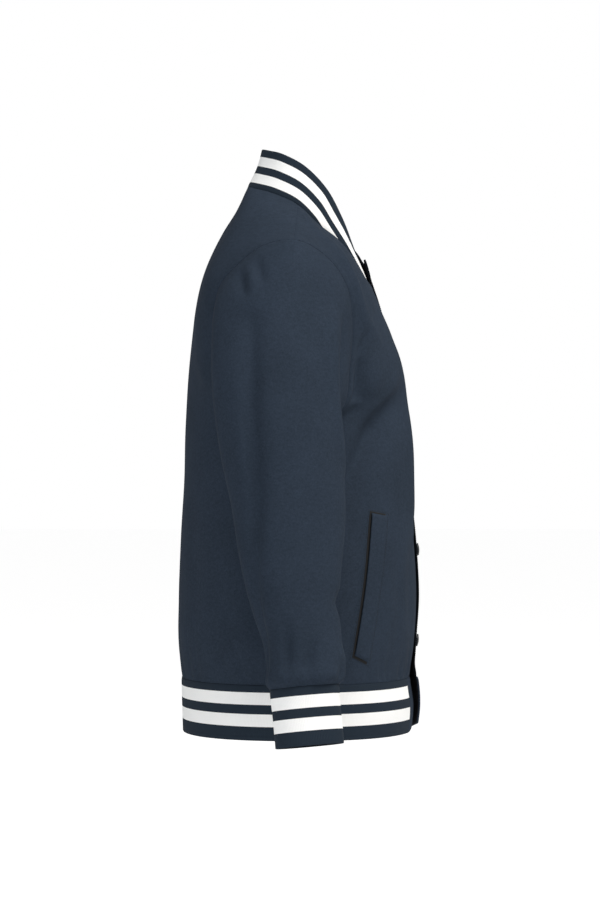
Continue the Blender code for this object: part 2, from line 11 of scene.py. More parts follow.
import bpy
import numpy as np
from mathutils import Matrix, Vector


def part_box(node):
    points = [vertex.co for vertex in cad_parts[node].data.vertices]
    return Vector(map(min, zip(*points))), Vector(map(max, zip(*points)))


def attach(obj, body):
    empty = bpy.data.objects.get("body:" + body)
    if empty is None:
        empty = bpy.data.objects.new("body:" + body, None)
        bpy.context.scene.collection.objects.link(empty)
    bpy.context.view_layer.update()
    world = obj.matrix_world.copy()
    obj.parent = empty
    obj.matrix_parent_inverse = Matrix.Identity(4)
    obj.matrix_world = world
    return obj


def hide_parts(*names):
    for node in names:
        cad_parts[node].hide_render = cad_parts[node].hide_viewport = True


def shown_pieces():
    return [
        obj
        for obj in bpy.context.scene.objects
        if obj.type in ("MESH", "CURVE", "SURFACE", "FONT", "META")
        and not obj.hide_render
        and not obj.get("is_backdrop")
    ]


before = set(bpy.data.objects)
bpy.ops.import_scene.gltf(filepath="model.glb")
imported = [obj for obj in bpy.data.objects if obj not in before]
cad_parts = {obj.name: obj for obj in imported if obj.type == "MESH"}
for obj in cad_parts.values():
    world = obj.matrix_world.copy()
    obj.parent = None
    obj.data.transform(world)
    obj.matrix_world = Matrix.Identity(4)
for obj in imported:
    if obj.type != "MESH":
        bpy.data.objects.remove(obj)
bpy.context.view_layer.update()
MM = 0.001
TAU = 2 * math.pi
print("nodes:", sorted(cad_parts))

# %% [markdown]
# ## Reading a pattern table
#
# A tailor marks a few points and joins them with a curved ruler. The ruler here is a cubic
# Hermite curve: through each pair of marks goes a cubic whose slopes come from the neighbours.
# A spline object could do the same, but a formula can be read at a whole grid of places at once.

# %% The curved ruler


def through(knots, values, at):
    """Cubic Hermite curve through the values at the knots, its slopes from the neighbours."""
    knots = np.asarray(knots, float)
    values = np.asarray(values, float).reshape(len(knots), -1)
    slopes = np.gradient(values, knots, axis=0)
    at = np.clip(np.asarray(at, float), knots[0], knots[-1])
    low = np.clip(np.searchsorted(knots, at, side="right") - 1, 0, len(knots) - 2)
    span = (knots[low + 1] - knots[low])[..., None]
    s = (at - knots[low])[..., None] / span
    curve = (
        (2 * s**3 - 3 * s**2 + 1) * values[low]
        + (s**3 - 2 * s**2 + s) * span * slopes[low]
        + (3 * s**2 - 2 * s**3) * values[low + 1]
        + (s**3 - s**2) * span * slopes[low + 1]
    )
    return curve[..., 0] if curve.shape[-1] == 1 else curve


def column(table, key, name, at):
    """One named column of a table, read at values of its key column."""
    return through(table[key], table[name], at)


def ease(start, end, at):
    """Smooth step: 0 at start, 1 at end, three times the square less twice the cube between."""
    s = np.clip((np.asarray(at, float) - start) / (end - start), 0, 1)
    return s * s * (3 - 2 * s)


def bell(distance, half_width):
    """Bell curve: 1 at distance 0, e to the minus square of distance over half width."""
    return np.exp(-((distance / half_width) ** 2))


def stacked(table):
    return np.stack([np.asarray(table[axis], float) for axis in ("x", "y", "z")], axis=-1)


def unit(vectors):
    """Each vector divided by its length."""
    return vectors / np.maximum(np.linalg.norm(vectors, axis=-1, keepdims=True), 1e-12)


def bezier(start, first, second, end, s):
    """Cubic Bezier: the four points weighted by the terms of (1 - s + s) cubed."""
    s = s[..., None]
    return (
        (1 - s) ** 3 * start
        + 3 * (1 - s) ** 2 * s * first
        + 3 * (1 - s) * s**2 * second
        + s**3 * end
    )


def chord_shares(points):
    steps = np.linalg.norm(np.diff(points, axis=0), axis=1)
    return np.concatenate([[0], np.cumsum(steps)]) / steps.sum()


print("a smooth step half way:", ease(0, 1, 0.5))

# %% [markdown]
# ## The pattern lines, in millimetres
#
# The origin lies between the shoulder seams, up is +z, and the front faces -y. Centre front,
# centre back, side seam, neckline and armhole are the lines that a pattern cutter draws first.
# They are the lines of the jacket's solids, so that the cloth lies in the same place.

# %% Centre lines, side seam, neckline, armhole
HEM_SEAM_Z = -541.0
HEM_Z = -605.5
UNDERARM_Z = -243.0
LAP = 15.0  # each front runs this far past the centre line
FRONT_LINE = {
    "z": (-607, -575, -541, -505, -450, -380, -300, -222, -157, -114, -90, -71),
    "y": (-132, -134.5, -130.5, -135, -138.5, -135.5, -127, -120, -109.5, -96.5, -88.5, -81),
}
BACK_LINE = {
    "z": (-607, -575, -541, -500, -450, -330, -222, -150, -100, -42, -10, 18, 45),
    "y": (139, 140, 141, 144.5, 144.5, 139.5, 135, 130.5, 124, 107.5, 92, 74.5, 62),
}
SIDE_LINE = {
    "z": (-607, -575, -541, -500, -430, -330, -243),
    "x": (182, 185, 185, 190, 191, 187, 178),
    "y": (4, 4, 4, 4, 5, 9, 14),
}
NECKLINE = {
    "x": (0, 38, 64, 73, 70, 56, 31, 0),
    "y": (62, 54, 30, 3, -22, -48, -69, -81),
    "z": (45, 41, 33, 20, -3, -23, -50, -71),
}
NECK_SHOULDER_ROW = 3
ARMHOLE = {
    "x": (205, 188, 172, 163, 166, 172, 178, 176, 171, 169, 173, 186, 197),
    "y": (7, -30, -54, -61, -58, -50, 14, 52, 80, 95, 94, 68, 40),
    "z": (-29, -47, -80, -128, -170, -216, -243, -233, -195, -140, -84, -53, -34),
}
UNDERARM_ROW = 6
MIRROR_X = np.array([-1.0, 1.0, 1.0])
LEVEL = np.array([1, 1, 0])
ARM_POINTS = stacked(ARMHOLE)
ARM_SHARES = chord_shares(np.vstack([ARM_POINTS, ARM_POINTS[:1]]))
UNDERARM_SHARE = ARM_SHARES[UNDERARM_ROW]
NECK_POINTS = stacked(NECKLINE)
NECK_SHARES = chord_shares(NECK_POINTS)
NECK_SHOULDER = NECK_SHARES[NECK_SHOULDER_ROW]
NECK_LENGTH = np.linalg.norm(np.diff(NECK_POINTS, axis=0), axis=1).sum()
LAP_SHARE = 1 + LAP / NECK_LENGTH


def armhole(share):
    """A point of the left armhole at a share of its loop, 0 at the shoulder tip."""
    wrapped = np.vstack([ARM_POINTS[-3:], ARM_POINTS, ARM_POINTS[:4]])
    ends = ARM_SHARES[:-1]
    return through(np.concatenate([ends[-3:] - 1, ends, ends[:4] + 1]), wrapped, share)


def across_middle(points, share):
    """A curve from centre back to centre front, continued past both as its mirror image."""
    before = points[2:0:-1] * MIRROR_X
    after = points[-2:-4:-1] * MIRROR_X
    knots = np.concatenate([-NECK_SHARES[2:0:-1], NECK_SHARES, 2 - NECK_SHARES[-2:-4:-1]])
    return through(knots, np.vstack([before, points, after]), share)


def centre_line(table, z, x=0.0):
    y = column(table, "z", "y", z)
    return np.stack([np.full_like(y, x), y, np.asarray(z, float)], axis=-1)


def side_seam(z):
    x = column(SIDE_LINE, "z", "x", z)
    y = column(SIDE_LINE, "z", "y", z)
    return np.stack([x, y, np.asarray(z, float)], axis=-1)


print(f"half neckline {NECK_LENGTH:.0f} mm, underarm at {UNDERARM_SHARE:.2f} of the armhole")

# %% [markdown]
# ## Half a front and half a back
#
# A cloth panel is a patch with four sides. Here every row of the patch is one cubic Bezier arc
# from the inner edge to the outer edge, and a short table says how each arc leaves and arrives:
# straight across at the chest, sloping at the shoulder. It could be lofted between a few curves
# by hand, but with a formula the same patch serves for the cloth, the pockets and the stitches.

# %% Arcs from the middle to the side
FRONT_ROWS = {
    "up": (0.0, 0.3, 0.5, 0.62, 0.76, 0.88, 1.0),
    "reach": (112, 112, 105, 92, 74, 56, 43),
    "lead": (2.5, 2.5, 2.5, 2.5, 2.5, 0, 0),
    "fall": (0, 0, 1, 2, 3, 14, 20),
    "pull": (84, 86, 86, 62, 50, 44, 43),
    "turn": (90, 90, 88, 68, 52, 28, 0),
    "rise": (0, 0, 4, 10, 16, 20, 20),
}
BACK_ROWS = {
    "up": (0.0, 0.3, 0.5, 0.64, 0.78, 0.9, 1.0),
    "reach": (112, 112, 108, 104, 92, 60, 43),
    "lead": (0, 0, 0, 0, 0, 0, 0),
    "fall": (0, 0, 1, 3, 8, 16, 20),
    "pull": (84, 86, 80, 56, 50, 44, 43),
    "turn": (90, 90, 86, 66, 46, 24, 0),
    "rise": (0, 0, 2, 8, 16, 20, 20),
}
UNDERARM_UP = 0.52
FRONT_NECK_UP = 0.76
BACK_NECK_UP = 0.86


def two_parts(up, corner, low_part, high_part):
    """An edge in two parts that meet at a corner, each a function of its own 0 to 1."""
    below = low_part(np.clip(up / corner, 0, 1))
    above = high_part(np.clip((up - corner) / (1 - corner), 0, 1))
    return np.where((up <= corner)[..., None], below, above)


def between(start, end, share):
    return start + (end - start) * share


def front_inner(up):
    return two_parts(
        up,
        FRONT_NECK_UP,
        lambda s: centre_line(FRONT_LINE, between(HEM_SEAM_Z, NECK_POINTS[-1][2], s), -LAP),
        lambda s: across_middle(NECK_POINTS, between(LAP_SHARE, NECK_SHOULDER, s)),
    )


def back_inner(up):
    return two_parts(
        up,
        BACK_NECK_UP,
        lambda s: centre_line(BACK_LINE, between(HEM_SEAM_Z, NECK_POINTS[0][2], s)),
        lambda s: across_middle(NECK_POINTS, between(0.0, NECK_SHOULDER, s)),
    )


def outer_edge(up, tip_share):
    return two_parts(
        up,
        UNDERARM_UP,
        lambda s: side_seam(between(HEM_SEAM_Z, UNDERARM_Z, s)),
        lambda s: armhole(between(UNDERARM_SHARE, tip_share, s)),
    )


def arc(start, end, rows, up, across, towards):
    """Cubic Bezier from start to end. Its first handle leaves at the lead and fall angles, its
    last one arrives at the turn and rise angles; towards is -1 for the front, +1 for the back."""
    lead, fall, turn, rise = (
        np.radians(column(rows, "up", name, up)) for name in ("lead", "fall", "turn", "rise")
    )
    leave = np.stack([np.cos(fall), towards * np.sin(lead), -np.sin(fall)], axis=-1)
    arrive = np.stack(
        [-np.cos(turn) * np.cos(rise), towards * np.sin(turn) * np.cos(rise), np.sin(rise)],
        axis=-1,
    )
    first = start + column(rows, "up", "reach", up)[..., None] * leave
    second = end + column(rows, "up", "pull", up)[..., None] * arrive
    return bezier(start, first, second, end, across)


def front_surface(across, up):
    """The left front: across 0 at its edge, 1 at the side; up 0 at the hem, 1 at the shoulder."""
    return arc(front_inner(up), outer_edge(up, 0.0), FRONT_ROWS, up, across, -1)


def back_surface(across, up):
    """The left half of the back: across 0 at centre back and neckline."""
    return arc(back_inner(up), outer_edge(up, 1.0), BACK_ROWS, up, across, 1)


print("shoulder tip at", front_surface(np.array([1.0]), np.array([1.0])).round(1).tolist())

# %% [markdown]
# ## The sleeve
#
# A set-in sleeve is a tube whose top is eased into the armhole. Below the cap the tube is a
# pile of tilted ellipses. In the cap each line down the sleeve is a Bezier that leaves the
# armhole in its own direction and arrives on the first ellipse.

# %% Sleeve and cuff rings
SLEEVE_RINGS = {
    "z": (-537.0, -510, -480, -455, -424, -380, -330, -265),
    "x": (277, 273.5, 269.5, 266, 262, 256, 249, 240),
    "y": (-5, -4, -1, 4, 7.5, 10, 13, 22),
    "across": (33, 38, 39.5, 42, 46, 49, 52, 56),
    "along": (39.5, 43.5, 44.5, 47.5, 53, 59.5, 64.5, 68),
}
CUFF_RINGS = {
    "z": (-603, -580, -555, -536.7),
    "x": (286, 282.5, 279, 277.2),
    "y": (-11, -9, -6.5, -5),
    "across": (29.5, 29.5, 30, 31.5),
    "along": (37.3, 37.3, 37.5, 38.3),
}
RING_SLOPE_X = 0.11
RING_SLOPE_Y = -0.09
CAP_LEAVING = {
    "share": (0.0, 0.25, 0.5, 0.75, 1.0),
    "out": (0.82, 0.84, 0.75, 0.86, 0.82),
    "back": (0.02, 0.14, 0.0, 0.06, 0.02),
    "down": (0.57, 0.52, 0.66, 0.5, 0.57),
    "handle": (0.32, 0.36, 0.3, 0.36, 0.32),
    "clear": (0.2, 0.5, 1.6, 0.7, 0.2),
}
CAP_PART = 6 / 17  # share of the way down at which the cap ends


def ring(table, angle, z):
    """A tilted ellipse: angle 0 outside, a quarter turn on at the front."""
    out = column(table, "z", "across", z) * np.cos(angle)
    ahead = -column(table, "z", "along", z) * np.sin(angle)
    x = column(table, "z", "x", z) + out
    y = column(table, "z", "y", z) + ahead
    return np.stack([x, y, z + RING_SLOPE_X * out + RING_SLOPE_Y * ahead], axis=-1)


def sleeve_surface(around, down):
    """The left sleeve: around 0 at the top, down 0 at the armhole and 1 at the cuff."""
    top_z, low_z = SLEEVE_RINGS["z"][-1], SLEEVE_RINGS["z"][0]
    angle = TAU * around
    tube_z = between(top_z, low_z, np.clip((down - CAP_PART) / (1 - CAP_PART), 0, 1))
    tube = ring(SLEEVE_RINGS, angle, tube_z)
    leave = np.stack(
        [column(CAP_LEAVING, "share", name, around) for name in ("out", "back", "down")], axis=-1
    ) * np.array([1, 1, -1])
    start = armhole(around) + column(CAP_LEAVING, "share", "clear", around)[..., None] * leave
    end = ring(SLEEVE_RINGS, angle, np.full_like(around, top_z))
    below = ring(SLEEVE_RINGS, angle, np.full_like(around, top_z - 5))
    length = np.linalg.norm(end - start, axis=-1, keepdims=True)
    handle = column(CAP_LEAVING, "share", "handle", around)[..., None] * length
    arrive = end - handle * unit(below - end)
    cap = bezier(start, start + handle * leave, arrive, end, np.clip(down / CAP_PART, 0, 1))
    return np.where((down < CAP_PART)[..., None], cap, tube)


SURFACES = {"front": front_surface, "back": back_surface, "sleeve": sleeve_surface}
FACING = {"front": 1, "back": -1, "sleeve": 1}  # which way the patch's own normal points


def outward(panel, across, up):
    """Unit normal of a panel: the cross product of two small steps on it."""
    surface, step = SURFACES[panel], 1e-3
    base = surface(across, up)
    side_step = np.where(across > 0.5, -step, step)
    up_step = np.where(up > 0.5, -step, step)
    side = (surface(across + side_step, up) - base) * np.sign(side_step)[..., None]
    rise = (surface(across, up + up_step) - base) * np.sign(up_step)[..., None]
    return unit(np.cross(side, rise) * FACING[panel])


def grid_normals(points, facing, closed=False):
    """Unit normal at each point of a grid: the cross product of its two central differences."""
    wrapped = np.concatenate([points[:, -1:], points, points[:, :1]], axis=1) if closed else points
    aside = np.gradient(wrapped, axis=1)[:, 1:-1] if closed else np.gradient(points, axis=1)
    return unit(np.cross(aside, np.gradient(points, axis=0)) * facing)


print("sleeve ends at", sleeve_surface(np.array([0.0]), np.array([1.0])).round(1).tolist())

# %% [markdown]
# ## Folds
#
# Stiff double knit makes few folds, soft and long. A cloth simulation could find them, but it
# also moves the outline, so each main fold is given: a path on the panel, a half width
# and a height. Across its path a fold is a bell curve, and it fades towards both ends. The list
# starts with the large folds of the solids and goes on with the small ones between them.

# %% The fold list: panel, start, middle, end (shares), half width, height
FOLDS = (
    ("front", (0.32, 0.30), (0.31, 0.50), (0.38, 0.68), 46.0, 9.0),  # fullness of the chest
    ("front", (0.19, 0.30), (0.185, 0.46), (0.20, 0.66), 28.0, 8.2),  # roll beside the overlap
    ("front", (0.10, 0.99), (0.86, 0.87), (0.63, 0.72), 13.0, 5.0),  # neck to armhole
    ("front", (0.97, 0.72), (0.90, 0.66), (0.80, 0.60), 21.0, -13.5),  # hollow by the armhole
    ("front", (0.30, 0.545), (0.55, 0.48), (0.76, 0.36), 17.0, -13.0),  # drag below the chest
    ("front", (0.38, 0.60), (0.58, 0.545), (0.74, 0.47), 11.0, 3.4),  # edge above the drag
    ("front", (0.80, 0.75), (0.88, 0.735), (0.97, 0.725), 6.0, -2.6),  # pinch at the armhole
    ("front", (0.72, 0.60), (0.84, 0.54), (0.96, 0.47), 9.0, -1.1),
    ("front", (0.40, 0.43), (0.62, 0.36), (0.86, 0.22), 12.0, 1.1),
    ("front", (0.90, 0.42), (0.84, 0.28), (0.86, 0.12), 12.0, -1.4),
    ("front", (0.20, 0.30), (0.26, 0.18), (0.22, 0.05), 14.0, -1.5),
    ("front", (0.42, 0.26), (0.40, 0.15), (0.44, 0.03), 12.0, -1.6),
    ("front", (0.24, 0.80), (0.34, 0.74), (0.48, 0.72), 13.0, 1.2),
    ("sleeve", (0.13, 0.12), (0.175, 0.26), (0.25, 0.42), 12.0, 6.0),  # front ridge
    ("sleeve", (0.18, 0.07), (0.235, 0.18), (0.30, 0.32), 13.0, -9.0),  # hollow behind it
    ("sleeve", (0.927, 0.16), (0.90, 0.50), (0.76, 0.95), 12.5, -10.0),  # long trough
    ("sleeve", (0.917, 0.01), (0.930, 0.045), (0.945, 0.09), 6.0, -6.5),  # cap puckers
    ("sleeve", (0.873, 0.01), (0.890, 0.05), (0.907, 0.10), 7.0, -6.5),
    ("sleeve", (0.895, 0.02), (0.910, 0.05), (0.924, 0.09), 5.0, 2.5),
    ("sleeve", (0.17, 0.77), (0.25, 0.785), (0.33, 0.77), 12.0, -4.6),  # dip over the wrist
    ("sleeve", (0.17, 0.925), (0.25, 0.935), (0.33, 0.925), 11.0, 2.6),  # bulge over the cuff
    ("sleeve", (0.95, 0.838), (0.935, 0.90), (0.925, 0.955), 7.0, -5.0),  # gathers at the cuff
    ("sleeve", (0.04, 0.90), (0.02, 0.94), (0.003, 0.978), 7.0, -5.0),
    ("sleeve", (0.20, 0.95), (0.195, 0.97), (0.19, 0.99), 6.0, -4.0),
    ("sleeve", (0.80, 0.22), (0.835, 0.42), (0.80, 0.62), 12.0, -1.6),
    ("sleeve", (0.02, 0.45), (0.05, 0.60), (0.00, 0.80), 15.0, -1.0),
    ("sleeve", (0.40, 0.40), (0.47, 0.56), (0.56, 0.70), 13.0, -2.2),
    ("sleeve", (0.62, 0.34), (0.56, 0.44), (0.45, 0.50), 10.0, -2.0),
    ("sleeve", (0.66, 0.66), (0.60, 0.78), (0.66, 0.90), 11.0, -1.8),
    ("sleeve", (0.36, 0.16), (0.44, 0.22), (0.52, 0.30), 9.0, -2.4),
    ("back", (0.05, 0.08), (0.50, 0.075), (0.92, 0.08), 26.0, 1.6),  # blouse above the hem
    ("back", (0.97, 0.70), (0.84, 0.66), (0.66, 0.56), 15.0, -3.0),
    ("back", (0.96, 0.60), (0.82, 0.50), (0.68, 0.36), 14.0, -2.2),
    ("back", (0.90, 0.44), (0.80, 0.30), (0.83, 0.10), 14.0, -1.8),
    ("back", (0.52, 0.80), (0.50, 0.66), (0.56, 0.48), 20.0, 1.2),
    ("back", (0.30, 0.34), (0.38, 0.20), (0.34, 0.06), 16.0, -1.0),
)
PATH_STEPS = 32


def nearest_on_path(points, path):
    """Distance from each point to a polyline, and the share of the polyline at which it is
    nearest: the foot of the perpendicular on each straight piece, kept within the piece."""
    start, step = path[:-1], np.diff(path, axis=0)
    foot = ((points[..., None, :] - start) * step).sum(-1) / (step**2).sum(-1)
    foot = np.clip(foot, 0, 1)
    gap = np.linalg.norm(points[..., None, :] - start - foot[..., None] * step, axis=-1)
    piece = gap.argmin(-1)[..., None]
    along = (piece + np.take_along_axis(foot, piece, -1)) / len(step)
    return np.take_along_axis(gap, piece, -1)[..., 0], along[..., 0]


def curved_path(start, middle, end, steps=PATH_STEPS):
    """Shares along a parabola that passes through all three points."""
    s = np.linspace(0, 1, steps + 1)[:, None]
    start, middle, end = map(np.array, (start, middle, end))
    handle = 2 * middle - (start + end) / 2
    return (1 - s) ** 2 * start + 2 * s * (1 - s) * handle + s**2 * end


def fold_height(panel, points, nudge):
    """Sum of a panel's folds at its points: height times bell times a fade at both ends."""
    total = np.zeros(points.shape[:-1])
    for number, (of_panel, start, middle, end, half_width, height) in enumerate(FOLDS):
        if of_panel != panel:
            continue
        path = curved_path(start, middle, end) + nudge * np.array([np.sin(number), np.cos(number)])
        gap, along = nearest_on_path(points, SURFACES[panel](path[:, 0], np.clip(path[:, 1], 0, 1)))
        fade = np.sin(math.pi * np.clip(0.08 + 0.84 * along, 0, 1)) ** 0.6
        total += height * fade * bell(gap, half_width)
    return total


print(len(FOLDS), "folds")

# %% [markdown]
# ## Gathers and ease
#
# The body and the sleeves are cut wider than the ribs they are sewn to, so the seam gathers
# them. Each gather is a short trough that starts at the seam and dies out upwards. Real ones
# are uneven, so their places, widths and depths come from a seeded random draw.

# %% Gathers above a rib, and the slow unevenness of cloth


def gathers(along, above, length, seed, spacing, depth, height, closed=False):
    """Sum of short troughs: a bell across each one times a fall with the height above the seam."""
    draw = np.random.default_rng(seed)
    count = int(length / spacing)
    places = (np.arange(count) + 0.5 + draw.uniform(-0.34, 0.34, count)) * length / count
    total = np.zeros(np.broadcast(along, above).shape)
    for place in places:
        width, deep, tall = draw.uniform((0.16, 0.35, 0.5), (0.30, 1.0, 1.3))
        lean = draw.uniform(-0.25, 0.25)
        gap = along - place - lean * above
        if closed:
            gap = (gap + length / 2) % length - length / 2
        total -= depth * deep * bell(gap, width * spacing) * np.exp(-above / (tall * height))
    return total


def unevenness(points, seed, wave=95.0, height=0.5):
    """Four long sine waves of different direction added up, as cloth never lies quite even."""
    draw = np.random.default_rng(seed)
    total = np.zeros(points.shape[:-1])
    for _wave in range(4):
        direction = draw.normal(size=3)
        direction /= np.linalg.norm(direction)
        phase = draw.uniform(0, TAU)
        length = wave * draw.uniform(0.6, 1.5)
        total += height * np.sin(TAU * (points @ direction) / length + phase)
    return total / 2


print("gather depth at a seam:", gathers(np.linspace(0, 90, 4), 0.0, 90, 1, 22, 1.5, 30).round(2))

# %% [markdown]
# ## From points to cloth
#
# A grid of points becomes a mesh with foreach_set. Each sheet also carries a UV map in metres,
# measured along the cloth, so that a thread keeps its size whatever the cloth does. Solidify
# gives the wall and puts a second material on the wrong side, and Bevel rounds the cut edge,
# which is also what makes a seam show: two rounded edges meet in a fine groove.

# %% Sheets
SHELL_WALL = 1.6
RIB_WALL = 2.6
EDGE_ROUNDING = 0.38  # bevel width as a share of the wall
EDGE_ANGLE = math.radians(50)  # only sharper edges than this are rounded


def measured(points, closed=False):
    """UV in metres: length along each row and, down the middle column, from row to row."""
    if closed:
        points = np.concatenate([points, points[:, :1]], axis=1)
    u = np.linalg.norm(np.diff(points, axis=1), axis=-1).cumsum(1)
    u = np.concatenate([np.zeros((len(points), 1)), u], axis=1)
    middle = points[:, points.shape[1] // 2]
    v = np.concatenate([[0], np.linalg.norm(np.diff(middle, axis=0), axis=-1).cumsum()])
    return np.stack([u, np.broadcast_to(v[:, None], u.shape)], axis=-1) * MM


def area_of(points, closed=False):
    """Area of a grid in square metres: half the cross product of each cell's diagonals."""
    if closed:
        points = np.concatenate([points, points[:, :1]], axis=1)
    first = points[1:, 1:] - points[:-1, :-1]
    second = points[1:, :-1] - points[:-1, 1:]
    return np.linalg.norm(np.cross(first, second), axis=-1).sum() / 2 * MM * MM


def cells(grid):
    """The four corners of each cell of a grid, in order round the cell."""
    return np.stack([grid[:-1, :-1], grid[:-1, 1:], grid[1:, 1:], grid[1:, :-1]], 2)


def grid_mesh(name, points, closed=False, uv=None):
    """A mesh of four-sided faces over a grid of points in millimetres."""
    uv = measured(points, closed) if uv is None else uv
    rows, columns = points.shape[:2]
    corner = np.arange(rows * columns).reshape(rows, columns)
    if closed:
        corner = np.hstack([corner, corner[:, :1]])
    faces = cells(corner).reshape(-1, 4)
    mesh = bpy.data.meshes.new(name)
    mesh.vertices.add(rows * columns)
    mesh.vertices.foreach_set("co", (points * MM).ravel())
    mesh.loops.add(faces.size)
    mesh.loops.foreach_set("vertex_index", faces.ravel())
    mesh.polygons.add(len(faces))
    mesh.polygons.foreach_set("loop_start", np.arange(0, faces.size, 4))
    mesh.update(calc_edges=True)
    mesh.uv_layers.new(name="cloth").uv.foreach_set("vector", cells(uv).ravel())
    mesh.validate()
    mesh.shade_smooth()
    return mesh


def placed(name, data):
    """A new object in the scene."""
    thing = bpy.data.objects.new(name, data)
    bpy.context.scene.collection.objects.link(thing)
    return thing


def made_of(mesh, stuffs, stands_for=None):
    """A piece of the jacket: its materials, its body and the solid that it replaces."""
    for stuff in stuffs:
        mesh.materials.append(stuff)
    piece = placed(mesh.name, mesh)
    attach(piece, "root")
    if stands_for:
        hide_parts(stands_for)
    return piece


def sewn(mesh, wall, stuffs, stands_for=None, painted_shade_edge=False):
    """A sheet with a wall: its right side, its wrong side and a rounded edge. The last stuff
    colours the wrong side, and with the edge flag set also the cut edge; the near-black wrong sides
    make both painted shade.
    """
    piece = made_of(mesh, stuffs, stands_for)
    thick = piece.modifiers.new("Wall", "SOLIDIFY")
    thick.thickness = wall * MM
    thick.offset = 0
    thick.material_offset = len(stuffs) - 1
    # the edge flag gives the cut edge the wrong side's near-black colour: painted shade along the
    # edge
    thick.material_offset_rim = len(stuffs) - 1 if painted_shade_edge else 0
    rounded = piece.modifiers.new("Rounded edge", "BEVEL")
    rounded.width = EDGE_ROUNDING * wall * MM
    rounded.segments = 2
    rounded.limit_method = "ANGLE"
    rounded.angle_limit = EDGE_ANGLE


def mirrored(points):
    """The other side's sheet: x turned about, and the columns too, so that it still faces out."""
    return (points * MIRROR_X)[:, ::-1]


# %% [markdown]
# ## Colours and nodes
#
# Colours are written as the sRGB hex values of a paint card and turned to the linear values
# that Blender mixes light with. One small function adds a node, sets it and links it.

# %% Colour and node helpers


def linear(hex_colour):
    """sRGB hex to linear: below 0.04045 divided by 12.92, else a power of 2.4."""
    parts = [int(hex_colour[i : i + 2], 16) / 255 for i in (1, 3, 5)]
    return (*[c / 12.92 if c <= 0.04045 else ((c + 0.055) / 1.055) ** 2.4 for c in parts], 1.0)


def add_node(tree, kind, settings=None, **inputs):
    """A node of that kind with its settings, its inputs set or linked by socket name."""
    node = tree.nodes.new(kind)
    for key, value in (settings or {}).items():
        setattr(node, key, value)
    for key, value in inputs.items():
        socket = node.inputs[int(key[1:])] if key[0] == "_" else node.inputs[key.replace("_", " ")]
        if isinstance(value, bpy.types.NodeSocket):
            tree.links.new(value, socket)
        else:
            socket.default_value = value
    return node


def sums(tree, operation, first, second, third=0.0):
    """The value of a math node."""
    settings = {"operation": operation}
    return add_node(tree, "ShaderNodeMath", settings, _0=first, _1=second, _2=third).outputs[0]


def finished(tree, shader, colour, strength, depth, relief):
    """Links a colour to the shader, and a relief to its normal through a bump node."""
    tree.links.new(colour, shader.inputs["Base Color"])
    raised = add_node(
        tree, "ShaderNodeBump", None, Strength=strength, Distance=depth * MM, Height=relief
    )
    tree.links.new(raised.outputs["Normal"], shader.inputs["Normal"])


def noise_of(tree, place, scale, detail):
    return add_node(
        tree, "ShaderNodeTexNoise", None, Vector=place, Scale=scale, Detail=detail
    ).outputs["Fac"]


def mixed(tree, factor, dark, light):
    mix = add_node(tree, "ShaderNodeMix", {"data_type": "RGBA"}, _0=factor, _6=dark, _7=light)
    return mix.outputs[2]


def new_stuff(name, **shader_values):
    """A material and its node tree, with constant shader values set on the shader itself."""
    stuff = bpy.data.materials.new(name)
    stuff.use_nodes = True
    tree = stuff.node_tree
    shader = tree.nodes["Principled BSDF"]
    for key, value in shader_values.items():
        shader.inputs[key.replace("_", " ")].default_value = value
    return stuff, tree, shader


print("navy in linear light:", [round(c, 4) for c in linear("#2D3843")])

# %% [markdown]
# ## Shell cloth: brushed double knit
#
# The shell is a stable double-knit jersey of polyester and viscose, piece-dyed navy, with a
# face so close that stitches barely show. The eye gets a matt surface with a fine uneven grain
# and faint lighter marks where it was brushed. The wrong side has a little sheen besides, and is
# coloured near-black: painted shade for the jacket's shaded inside. Real wales are about 0.6 mm
# apart; they are drawn at 1.3 mm so that they can be seen.

# %% Shell cloth, right and wrong side
WALE = 1.3 * MM
BRUSH_MARK = 5.5 * MM  # how far apart the light and dark patches of the brushed face are
NAVY = linear("#1F2730")
NAVY_LIGHT = linear("#303A48")
BRUSH_SQUASH = (1.0, 1.0, 1.8)  # the patches are wider than they are high
NOISE_SHARES = (0.7, 0.4, 0.5)  # how much yarn, clouds and brush marks each count
# near-black wrong side: painted shade where the inside of the jacket and its cut edges lie in
# shadow
WRONG_SIDE_PAINTED_SHADE = linear("#0B0E12"), linear("#11151B")


